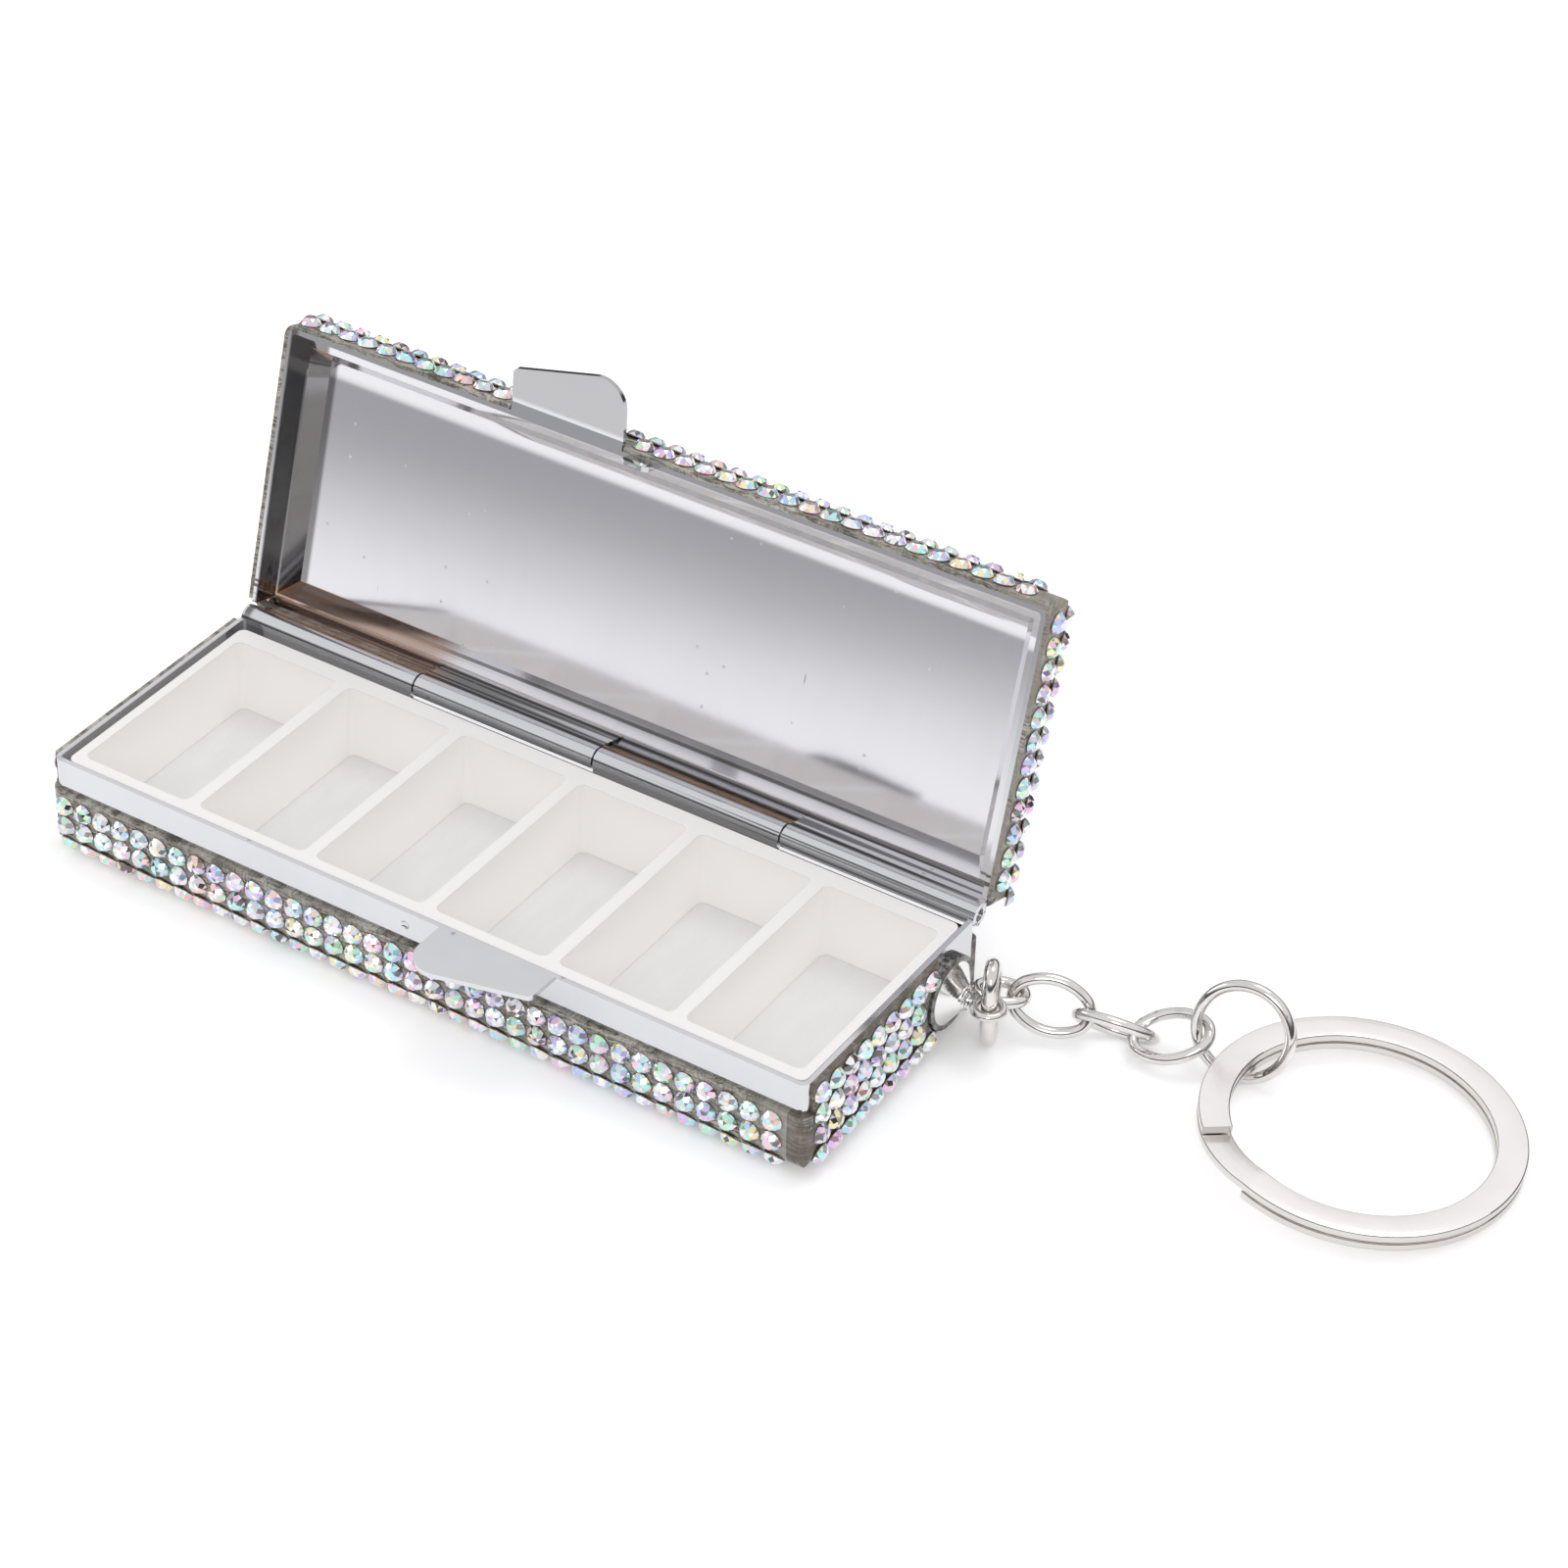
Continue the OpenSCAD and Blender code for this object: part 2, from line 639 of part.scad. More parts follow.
// Middle stretch of the lid's mesh, one bent section from the front rim over the top to the back
module lid_mesh() color("dimgray") open_lid()
  difference() {
    translate([-part_x, -lid_mid, lid_top + mesh_t]) mirror([0, 0, 1]) rotate([90, 0, 90])
      linear_extrude(2 * part_x) difference() {
        u_outline(lid_w + 2 * mesh_t, lid_depth + mesh_t, mesh_r);
        translate([0, mesh_t]) u_outline(lid_w, lid_depth + 1, fold_r);
        translate([lid_w / 2 - corner_r, lid_top + mesh_t - lid_back_clear])
          square([corner_r + 1, lid_depth]);
      }
    lid_tab_relief();
  }

module lid_mesh_left() color("dimgray") open_lid()
  intersection() {
    lid_skin();
    span([-half_l - 1, -lid_front - 1, -1], [-part_x, 1, lid_top + 1]);
  }

module lid_mesh_right() color("dimgray") open_lid()
  intersection() {
    lid_skin();
    span([part_x, -lid_front - 1, -1], [half_l + 1, 1, lid_top + 1]);
  }

module lid_row(s) {
  front = s < lid_run / 2;
  at = front ? mesh_fold(s, lid_fold_z - lid_rim) : mesh_fold(lid_run - s, lid_fold_z - lid_back_clear);
  side = front ? -1 : 1;
  edge_y = front ? -lid_front - mesh_t : -lid_back + mesh_t;
  under_tab = front && s < pitch;
  for (x = columns)
    if (!under_tab || x > -lid_tab_x + stone_d / 2 || x < -lid_tab_x - tab_l - stone_d / 2
        || at.y > sheet_t + stone_d / 2)
      translate([x, edge_y - side * at.x, (front ? lid_rim : lid_back_clear) + at.y])
        rotate([-side * (90 - at.z), 0, 0]) stone();
}

module lid_stones_front() color("lightcyan") open_lid()
  for (s = lid_rows)
    if (s <= lid_front_run) lid_row(s);

module lid_stones_top() color("lightcyan") open_lid()
  for (s = lid_rows)
    if (s > lid_front_run && s < lid_run - lid_back_run) lid_row(s);

module lid_stones_back() color("lightcyan") open_lid()
  for (s = lid_rows)
    if (s >= lid_run - lid_back_run) lid_row(s);

module lid_end_stones(side) {
  for (y = lid_end_ys, s = lid_end_rows) {
    at = mesh_fold(s, lid_fold_z - lid_rim);
    if (y < -lid_back - stone_d / 2 || lid_rim + at.y - stone_d / 2 > lid_back_clear)
      translate([side * (half_l + mesh_t - at.x), y, lid_rim + at.y])
        rotate([0, side * (90 - at.z), 0]) stone();
  }
}

module lid_stones_left() color("lightcyan") open_lid() lid_end_stones(-1);

module lid_stones_right() color("lightcyan") open_lid() lid_end_stones(1);

// Turned bell on the right-hand end, with grooves cut by the tool
module chain_post() color("darkgray") {
  translate([half_l, post_y, post_z]) rotate([0, 90, 0])
    difference() {
      rotate_extrude($fn = 48)
        polygon(concat([[0, 0], [post_r, 0], [post_r, post_flange]],
          [for (i = [0:grooves])
            let (t = i / grooves,
              r = post_neck_r + (post_r - post_lip - post_neck_r) * pow(1 - t, post_taper))
            each [[r, post_flange + post_bell * t],
              if (i < grooves) [r - groove_depth, post_flange + post_bell * (t + groove_step / grooves)]]],
          [[0, post_flange + post_bell]]));
      translate([0, 0, post_flange + post_bell - stem_l])
        cylinder(r = stem_r + stem_gap, h = stem_l + 1, $fn = smooth);
    }
}

// Eye of bent wire with its stem set in the bell
module post_eye() color("silver") {
  translate(eye_c) rotate_extrude($fn = 48) translate([eye_r, 0]) circle(eye_wire, $fn = smooth);
  translate([post_end - stem_l, post_y, post_z]) rotate([0, 90, 0])
    cylinder(r = stem_r, h = stem_l + eye_wire, $fn = smooth);
}

// Oval of round wire made of four arcs, its length along x. size is the half length and half width.
// The end arcs are drawn a hair thicker and lap over the side arcs.
module wire_oval(size, end_r, r) {
  side_r = (pow(size.x - end_r, 2) + size.y * size.y - end_r * end_r) / (2 * (size.y - end_r));
  turn = atan2(side_r - size.y, size.x - end_r);
  for (s = [0, 180])
    rotate([0, 0, s]) {
      translate([size.x - end_r, 0, 0]) rotate([0, 0, -turn - lap_angle])
        rotate_extrude(angle = 2 * (turn + lap_angle), $fn = 48)
          translate([end_r, 0]) circle(r + lap_swell, $fn = smooth);
      translate([0, size.y - side_r, 0]) rotate([0, 0, turn])
        rotate_extrude(angle = 180 - 2 * turn, $fn = 96) translate([side_r, 0]) circle(r, $fn = smooth);
    }
}

module post_ring() color("gainsboro")
  translate(ring_c) rotate([0, 0, ring_yaw]) rotate([0, 90, 90])
    wire_oval(ring_size, ring_end_r, ring_wire);

module chain_place(i) {
  translate(link_c(i)) rotate([0, 0, link_yaw[i]]) rotate([0, link_slope[i], 0])
    rotate([link_lean[i], 0, 0]) children();
}

module chain_link_1() color("silver") chain_place(0) wire_oval(small_size, small_end_r, wire_r);

module chain_link_2() color("silver") chain_place(1) wire_oval(link_size, link_end_r, wire_r);

module chain_link_3() color("silver") chain_place(2) wire_oval(link_size, link_end_r, wire_r);

module chain_link_4() color("silver") chain_place(3) wire_oval(link_size, link_end_r, wire_r);

module jump_ring() color("silver") chain_place(4)
  rotate_extrude($fn = 96) translate([jump_r, 0]) circle(wire_r, $fn = smooth);

module strip_arc(from, angle, z, narrow = 0, thin = 0) {
  translate([0, 0, z + thin]) rotate([0, 0, from]) rotate_extrude(angle = angle, $fn = 144)
    translate([key_d / 2 - strip_w + narrow, 0]) square([strip_w - 2 * narrow, strip_t - 2 * thin]);
}

// Flat strip wound twice round, stepping from the upper turn to the lower one
module key_ring() color("mistyrose") {
  translate(key_c) rotate([0, 0, key_tilt_dir]) rotate([0, -key_tilt, 0]) rotate([0, 0, -key_tilt_dir]) {
    strip_arc(end_angle + step_angle, 360 - step_angle, 0);
    strip_arc(end_angle + step_angle, 360 - step_angle, key_lift);
    rotate([0, 0, end_angle + step_angle / 2]) translate([0, 0, (key_lift + strip_t) / 2])
      rotate([atan2(key_lift, step_run), 0, 0])
        strip_arc(-step_angle / 2 - step_lap, step_angle + 2 * step_lap, -strip_t / 2,
          step_narrow, step_thin);
  }
}

base_shell();
hinge_pin();
pill_insert();
base_mesh_front();
base_mesh_under();
base_mesh_back();
base_mesh_left();
base_mesh_right();
base_stones_front();
base_stones_back();
base_stones_left();
base_stones_right();
lid_shell();
lid_panel();
lid_mesh();
lid_mesh_left();
lid_mesh_right();
lid_stones_top();
lid_stones_front();
lid_stones_back();
lid_stones_left();
lid_stones_right();
chain_post();
post_eye();
post_ring();
chain_link_1();
chain_link_2();
chain_link_3();
chain_link_4();
jump_ring();
key_ring();
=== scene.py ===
"""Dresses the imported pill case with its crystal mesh, mirror lid, insert, chain and split key ring."""

import logging
import math
import random
from dataclasses import dataclass
from enum import Enum
from typing import Any, Optional, Sequence, Union

import bmesh
import bpy
from mathutils import Matrix, Vector


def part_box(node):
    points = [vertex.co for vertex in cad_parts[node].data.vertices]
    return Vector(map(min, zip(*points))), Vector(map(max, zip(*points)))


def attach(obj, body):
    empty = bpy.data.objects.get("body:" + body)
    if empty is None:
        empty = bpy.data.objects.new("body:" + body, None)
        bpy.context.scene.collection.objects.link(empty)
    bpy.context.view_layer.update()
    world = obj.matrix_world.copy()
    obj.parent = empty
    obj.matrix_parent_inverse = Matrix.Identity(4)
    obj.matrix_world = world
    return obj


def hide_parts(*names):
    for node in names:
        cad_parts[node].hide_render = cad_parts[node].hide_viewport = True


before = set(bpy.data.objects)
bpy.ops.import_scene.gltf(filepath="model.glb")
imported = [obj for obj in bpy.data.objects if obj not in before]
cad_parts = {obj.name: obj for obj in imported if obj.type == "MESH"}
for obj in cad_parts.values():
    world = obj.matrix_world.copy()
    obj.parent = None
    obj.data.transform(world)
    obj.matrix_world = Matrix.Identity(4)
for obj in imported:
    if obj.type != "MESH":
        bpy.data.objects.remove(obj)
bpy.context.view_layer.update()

log = logging.getLogger("pill_case")

MM = 0.001
WELD = 1e-6
"""Points closer than this, in metres, become one."""
BROAD_FACE = 3e-6
"""Area in square metres above which a face keeps its own flat shading."""
FLAT_BEND = 3.0
"""Bend in degrees above which an edge between two broad faces stays sharp."""
Number = Union[int, float]
Colour = tuple[float, float, float]
Point = tuple[float, float, float]
COAT_LAYER = "coat"
"""Colour attribute that holds the tint of each facet."""


def darker(colour: Colour, share: float) -> tuple[float, ...]:
    """Colour times a share."""
    return tuple(share * c for c in colour)


# ---------------------------------------------------------------- shader maths


class Sock:
    """A shader socket that takes part in arithmetic."""

    def __init__(self, graph: "Nodes", socket: bpy.types.NodeSocket) -> None:
        """Wraps a socket of a graph."""
        self.graph = graph
        self.socket = socket

    def _math(self, operation: str, first: Any, second: Any) -> "Sock":
        """Adds one Math node and returns its result."""
        return self.graph.node("ShaderNodeMath", {"operation": operation}, {0: first, 1: second})

    def __add__(self, other: Any) -> "Sock":
        """Sum."""
        return self._math("ADD", self, other)

    __radd__ = __add__

    def __sub__(self, other: Any) -> "Sock":
        """Difference."""
        return self._math("SUBTRACT", self, other)

    def __rsub__(self, other: Any) -> "Sock":
        """Difference with the value on the left."""
        return self._math("SUBTRACT", other, self)

    def __mul__(self, other: Any) -> "Sock":
        """Product."""
        return self._math("MULTIPLY", self, other)

    __rmul__ = __mul__

    def above(self, limit: Number, soft: Number) -> "Sock":
        """Mask that rises from 0 to 1 round a limit.

        Args:
            limit: Value at the middle of the rise.
            soft: Width of the rise.

        Returns:
            The mask.
        """
        settings = {"interpolation_type": "SMOOTHSTEP"}
        span = {"Value": self, "From Min": limit - soft / 2, "From Max": limit + soft / 2}
        return self.graph.node("ShaderNodeMapRange", settings, span)

    def below(self, limit: Number, soft: Number) -> "Sock":
        """Mask that falls from 1 to 0 round a limit."""
        return 1 - self.above(limit, soft)


class Nodes:
    """Node tree of a material or of the world."""

    def __init__(self, tree: bpy.types.NodeTree) -> None:
        """Starts an empty tree."""
        self.tree = tree
        self.tree.nodes.clear()

    def feed(self, target: bpy.types.NodeSocket, value: Any) -> None:
        """Links a socket or sets a plain value on a node's input.

        Args:
            target: The input.
            value: A Sock, a number, a colour or a vector.
        """
        if isinstance(value, Sock):
            self.tree.links.new(value.socket, target)
        else:
            wants_four = target.type == "RGBA" and len(value) == 3
            target.default_value = (*value, 1.0) if wants_four else value

    def node(self, kind: str, settings: Optional[dict] = None, inputs: Optional[dict] = None,
             out: Any = 0) -> Sock:
        """Adds a node.

        Args:
            kind: Blender's name for the node type.
            settings: Properties of the node, set first. "stops" holds a ramp's places and colours.
            inputs: Values or links by input name or number.
            out: Output to return, by name or number.

        Returns:
            The chosen output.
        """
        made = self.tree.nodes.new(kind)
        for key, value in (settings or {}).items():
            if key == "stops":
                ramp = made.color_ramp
                while len(ramp.elements) < len(value):
                    ramp.elements.new(0.5)
                for element, (place, colour) in zip(ramp.elements, value):
                    element.position = place
                    element.color = (*colour, 1.0)
            else:
                setattr(made, key, value)
        for key, value in (inputs or {}).items():
            self.feed(made.inputs[key], value)
        return Sock(self, made.outputs[out])

    def end(self, kind: str, shader: Sock) -> None:
        """Adds an output node and links a shader to its surface."""
        self.feed(self.tree.nodes.new(kind).inputs["Surface"], shader)


class Graph(Nodes):
    """Node tree of one material with a Principled shader."""

    def __init__(self, name: str) -> None:
        """Starts the material.

        Args:
            name: Name of the material.
        """
        self.material = bpy.data.materials.new(name)
        self.material.use_nodes = True
        super().__init__(self.material.node_tree)
        shader = self.node("ShaderNodeBsdfPrincipled")
        self.surface = shader.socket.node
        self.end("ShaderNodeOutputMaterial", shader)

    def coords(self) -> Sock:
        """Object coordinates."""
        return self.node("ShaderNodeTexCoord", out="Object")

    def axis(self, vector: Sock, name: str) -> Sock:
        """One component of a vector."""
        return self.node("ShaderNodeSeparateXYZ", inputs={0: vector}, out=name)

    def mapped(self, vector: Sock, scale: Sequence[float], place: Sequence[float] = (0, 0, 0),
               turn: Sequence[float] = (0, 0, 0)) -> Sock:
        """Scaled, placed and turned copy of a vector."""
        values = {"Vector": vector, "Location": place, "Rotation": turn, "Scale": scale}
        return self.node("ShaderNodeMapping", {"vector_type": "POINT"}, values)

    def noise(self, vector: Sock, scale: float, detail: float = 3, rough: float = 0.5) -> Sock:
        """Value of a noise field between 0 and 1."""
        values = {"Vector": vector, "Scale": scale, "Detail": detail, "Roughness": rough}
        return self.node("ShaderNodeTexNoise", inputs=values)

    def specks(self, vector: Sock, scale: float) -> tuple[Sock, Sock]:
        """Field of scattered points.

        Args:
            vector: Place that it is read at.
            scale: Points in a metre.

        Returns:
            Distance to the nearest point, and a random value of that point.
        """
        node = self.node("ShaderNodeTexVoronoi", inputs={"Vector": vector, "Scale": scale})
        colour = Sock(self, node.socket.node.outputs["Color"])
        return node, self.node("ShaderNodeSeparateColor", inputs={0: colour}, out=0)

    def mix(self, mask: Any, first: Any, second: Any) -> Sock:
        """Colour that goes from first to second as the mask rises."""
        return self.node("ShaderNodeMix", {"data_type": "RGBA"}, {0: mask, 6: first, 7: second}, 2)

    def bump(self, height: Sock, depth_m: float) -> Sock:
        """Normal from a height field whose full range is depth_m."""
        return self.node("ShaderNodeBump", inputs={"Height": height, "Distance": depth_m, "Strength": 1.0})

    def finish(self, **inputs: Any) -> bpy.types.Material:
        """Feeds the Principled shader.

        Args:
            inputs: Values or links; an underscore stands for a space in a socket's name.

        Returns:
            The material.
        """
        for key, value in inputs.items():
            self.feed(self.surface.inputs[key.replace("_", " ")], value)
        return self.material


# ---------------------------------------------------------------- finishes


@dataclass(frozen=True)
class PlatedSheet:
    """Polished plate on pressed sheet, with smudges, hairlines and a few pits, plus painted shade on the left
    rim wall and the lid tab and painted reflection streaks on the hinge knuckles.
    """

    name: str
    tint: Colour
    rough: float = 0.07
    haze: float = 0.10
    grain: float = 0.25
    hinge_y: float = 13.9 * MM
    dark_wall_x: float = -41.9 * MM
    tab_root_z: float = 40.5 * MM
    hinge_top_z: float = 15.0 * MM
    pit_tint: Colour = (0.30, 0.28, 0.27)
    reflection_streak_tint: Colour = (0.09, 0.09, 0.095)
    wall_shade_tint: Colour = (0.10, 0.095, 0.09)
    tab_shade_tint: Colour = (0.38, 0.375, 0.39)

    def build(self) -> bpy.types.Material:
        """Makes the material.

        Returns:
            The finished material.
        """
        g = Graph(self.name)
        here = g.coords()
        smudge = g.noise(here, 90, 4, 0.6).above(0.55, 0.3)
        hairline = g.noise(g.mapped(here, (60, 2600, 2600)), 1, 2, 0.5)
        pit, chance = g.specks(here, 420)
        pits = pit.below(0.10, 0.08) * chance.above(0.86, 0.02)
        colour = g.mix(smudge * 0.25, self.tint, darker(self.tint, 0.86))
        colour = g.mix(pits * 0.5, colour, self.pit_tint)
        # Painted reflection: dark lengthwise streaks on the hinge knuckles stand in for their reflections.
        knuckle_reflection_lines = g.noise(g.mapped(here, (12, 1700, 1700)), 1, 1).above(0.57, 0.05)
        by_hinge = g.axis(here, "Y").above(self.hinge_y, 0.3 * MM)
        by_hinge = by_hinge * g.axis(here, "Z").below(self.hinge_top_z, 0.6 * MM)
        colour = g.mix(knuckle_reflection_lines * by_hinge * 0.9, colour, self.reflection_streak_tint)
        # Painted shade: the recessed wall near dark_wall_x, above 11 mm, is painted dark.
        shaded_wall = g.axis(here, "X").above(self.dark_wall_x - 0.25 * MM, 0.1 * MM)
        shaded_wall = shaded_wall * g.axis(here, "X").below(self.dark_wall_x + 0.5 * MM, 0.6 * MM)
        shaded_wall = shaded_wall * g.axis(here, "Z").above(11 * MM, MM)
        colour = g.mix(shaded_wall * (0.70 + smudge * 0.25), colour, self.wall_shade_tint)
        # Painted shade: the lid tab is painted mid-grey.
        shaded_tab = g.axis(here, "Z").above(self.tab_root_z, 0.5 * MM)
        colour = g.mix(shaded_tab * 0.75, colour, self.tab_shade_tint)
        rough = self.rough + smudge * self.haze * 0.5 + hairline * self.haze * 0.3 + pits * 0.2
        height = hairline * self.grain + g.noise(here, 240, 2) * 0.6
        return g.finish(Base_Color=colour, Metallic=1.0, Roughness=rough, Normal=g.bump(height, 0.000004))


@dataclass(frozen=True)
class MirrorPlate:
    """Polished plate of the lid with haze, dust and fine scratches, painted shade along its left edge and
    painted reflections of the hinge knuckles low down.
    """

    name: str = "mirror_plate"
    tint: Colour = (0.705, 0.70, 0.728)
    left_x: float = -38.6 * MM
    lean: float = math.radians(16.4)
    dish_from: float = 0.0393
    dish_w: float = 0.0058
    dish_h: float = 0.0011
    shelf_z: float = 13.1 * MM
    low_brown_x: float = -20.0 * MM
    dust_tint: Colour = (0.95, 0.95, 0.95)
    scratch_tint: Colour = (0.25, 0.24, 0.24)
    painted_dark_tint: Colour = (0.10, 0.095, 0.09)
    low_brown_tint: Colour = (0.42, 0.275, 0.20)

    def build(self) -> bpy.types.Material:
        """Makes the material.

        Returns:
            The finished material.
        """
        g = Graph(self.name)
        here = g.coords()
        cloud = g.noise(here, 45, 4, 0.6)
        streak = g.noise(g.mapped(here, (900, 60, 60)), 1, 3, 0.6)
        dust, chance = g.specks(here, 620)
        motes = dust.below(0.10, 0.08) * chance.above(0.86, 0.02)
        line, drawn = g.specks(g.mapped(here, (900, 90, 110), turn=(0.0, 0.35, 0.1)), 1)
        scratch = line.below(0.06, 0.05) * drawn.above(0.90, 0.02)
        colour = g.mix(cloud.above(0.55, 0.4) * 0.25, self.tint, darker(self.tint, 0.88))
        colour = g.mix(motes * 0.7, colour, self.dust_tint)
        colour = g.mix(scratch * 0.6, colour, self.scratch_tint)
        rough = 0.045 + cloud * 0.04 + streak * 0.03 + motes * 0.4 + scratch * 0.15
        # Painted shade: the mirror's left edge by the rim wall is painted dark.
        shaded_border = g.axis(here, "X").below(self.left_x, 0.5 * MM)
        colour = g.mix(shaded_border * 0.75, colour, self.painted_dark_tint)
        shelf = g.axis(here, "Z").below(self.shelf_z, 0.15 * MM)
        # Painted reflection: dark lines along x low on the mirror stand in for the reflected hinge knuckles.
        lines = g.noise(g.mapped(here, (12, 1500, 1500)), 1, 1).above(0.53, 0.08)
        colour = g.mix(shelf * lines * 0.75, colour, self.painted_dark_tint)
        # Browner low on the mirror towards the left.
        low_brown = shelf * g.axis(here, "X").below(self.low_brown_x, 5 * MM)
        colour = g.mix(low_brown * (0.55 + cloud * 0.45), colour, self.low_brown_tint)
        up = g.axis(g.mapped(here, (1, 1, 1), turn=(self.lean, 0, 0)), "Z")
        dish = g.node("ShaderNodeMapRange", {"interpolation_type": "SMOOTHERSTEP"},
                      {"Value": up, "From Min": self.dish_from, "From Max": self.dish_from + self.dish_w})
        height = (streak * 0.25 + g.noise(here, 110, 2) * 1.2) * 0.000003 + dish * self.dish_h
        return g.finish(Base_Color=colour, Metallic=1.0, Roughness=rough, Normal=g.bump(height, 1.0))


@dataclass(frozen=True)
class MouldedInsert:
    """Satin white moulding; the compartment floors are painted grey, partly as painted shade and partly as
    scuffs, the top rims carry painted shade and a faint glow is painted light.
    """

    rim_z: float
    name: str = "insert_plastic"
    floor_top: float = 2.75 * MM
    tint: Colour = (0.89, 0.872, 0.855)
    cloud_tint: Colour = (0.865, 0.845, 0.825)
    floor_shade_and_scuff_tint: Colour = (0.68, 0.68, 0.68)
    shaded_rim_tint: Colour = (0.79, 0.775, 0.76)

    def build(self) -> bpy.types.Material:
        """Makes the material.

        Returns:
            The finished material.
        """
        g = Graph(self.name)
        here = g.coords()
        # Partly painted shade in the recesses and partly scuffs: the compartment floors are painted grey.
        floor = g.axis(here, "Z").below(self.floor_top, 0.2 * MM)
        scuff = g.noise(g.mapped(here, (500, 160, 300)), 1, 4, 0.65)
        colour = g.mix(g.noise(here, 120, 3).above(0.5, 0.5) * 0.35, self.tint, self.cloud_tint)
        colour = g.mix(floor * (0.55 + scuff * 0.45), colour, self.floor_shade_and_scuff_tint)
        # Painted shade: the top rims are painted darker than the rest of the moulding.
        shaded_rim_mask = g.axis(here, "Z").above(self.rim_z - 0.12 * MM, 0.1 * MM)
        colour = g.mix(shaded_rim_mask, colour, self.shaded_rim_tint)
        mould = g.noise(here, 1500, 2)
        rough = 0.42 + scuff * 0.12 - floor * 0.05
        # Painted light: a faint emission makes the moulding glow.
        return g.finish(Base_Color=colour, Roughness=rough, Normal=g.bump(mould + scuff * 0.5, 0.00001),
                        Specular_IOR_Level=0.4, Subsurface_Weight=0.12, Subsurface_Radius=(1.0, 0.9, 0.8),
                        Subsurface_Scale=0.0008, Emission_Color=(1.0, 0.98, 0.96), Emission_Strength=0.075)


@dataclass(frozen=True)
class MeshBacking:
    """Fibrous net soaked in clear glue, grey-brown between the stones."""

    name: str
    light: Colour = (0.32, 0.30, 0.255)
    dark: Colour = (0.095, 0.083, 0.065)
    thread: Colour = (0.55, 0.53, 0.47)
    glue: Colour = (0.30, 0.19, 0.12)
    glue_top: float = 0.0
    smooth_x: float = 38.2 * MM

    def build(self) -> bpy.types.Material:
        """Makes the material.

        Returns:
            The finished material.
        """
        g = Graph(self.name)
        here = g.coords()
        swirl = g.node("ShaderNodeTexNoise", inputs={"Vector": here, "Scale": 500}, out="Color")
        warp = g.node("ShaderNodeVectorMath", {"operation": "SCALE"}, {0: swirl, "Scale": 0.0009})
        bent = g.node("ShaderNodeVectorMath", {"operation": "ADD"}, {0: here, 1: warp})
        strand_a = g.noise(g.mapped(bent, (350, 350, 4200)), 1, 2, 0.6)
        strand_b = g.noise(g.mapped(bent, (3800, 3800, 900), turn=(0.5, 0.4, 0.1)), 1, 2, 0.6)
        fibre = strand_a * 0.65 + strand_b * 0.35
        stops = [(0.40, self.dark), (0.50, self.light), (0.60, self.thread)]
        colour = g.node("ShaderNodeValToRGB", {"stops": stops}, {0: fibre})
        colour = g.mix(g.noise(here, 140, 3).above(0.5, 0.3) * 0.35, colour, darker(self.dark, 0.7))
        if self.glue_top:
            colour = g.mix(g.axis(here, "Z").below(self.glue_top, 0.3 * MM) * 0.85, colour, self.glue)
        smooth = g.axis(here, "X").above(self.smooth_x, 4 * MM) * g.noise(here, 260, 3).above(0.38, 0.2)
        colour = g.mix(smooth * 0.8, colour, darker(self.light, 0.95))
        fibre = fibre * (1 - smooth * 0.85)
        glue = g.noise(here, 900, 2).above(0.5, 0.2)
        return g.finish(Base_Color=colour, Roughness=0.62 - glue * 0.3, Coat_Weight=glue * 0.5,
                        Coat_Roughness=0.15, Normal=g.bump(fibre, 0.0003), Specular_IOR_Level=0.5)


@dataclass(frozen=True)
class CoatedCrystal:
    """Foiled stone with a rainbow coating; each facet carries its own tint."""

    name: str = "crystal"

    def build(self) -> bpy.types.Material:
        """Makes the material.

        Returns:
            The finished material.
        """
        g = Graph(self.name)
        tint = g.node("ShaderNodeAttribute", {"attribute_name": COAT_LAYER}, out="Color")
        haze = g.noise(g.coords(), 700, 2)
        return g.finish(Base_Color=tint, Metallic=0.62, Roughness=0.08 + haze * 0.10, Coat_Weight=1.0,
                        Coat_Roughness=0.03, Coat_IOR=1.6, Specular_IOR_Level=0.8)


@dataclass(frozen=True)
class PlatedWire:
    """Bright nickel wire with soft wear."""

    name: str
    tint: Colour = (0.74, 0.72, 0.70)
    rough: float = 0.05
    spot_tint: Colour = (0.25, 0.22, 0.19)

    def build(self) -> bpy.types.Material:
        """Makes the material.

        Returns:
            The finished material.
        """
        g = Graph(self.name)
        here = g.coords()
        wear = g.noise(here, 500, 4, 0.6)
        spot, chance = g.specks(here, 900)
        spots = spot.below(0.18, 0.1) * chance.above(0.8, 0.04)
        colour = g.mix(wear.above(0.55, 0.3) * 0.4, self.tint, darker(self.tint, 0.75))
        colour = g.mix(spots * 0.5, colour, self.spot_tint)
        return g.finish(Base_Color=colour, Metallic=1.0, Roughness=self.rough + wear * 0.1 + spots * 0.2,
                        Normal=g.bump(wear, 0.000012))


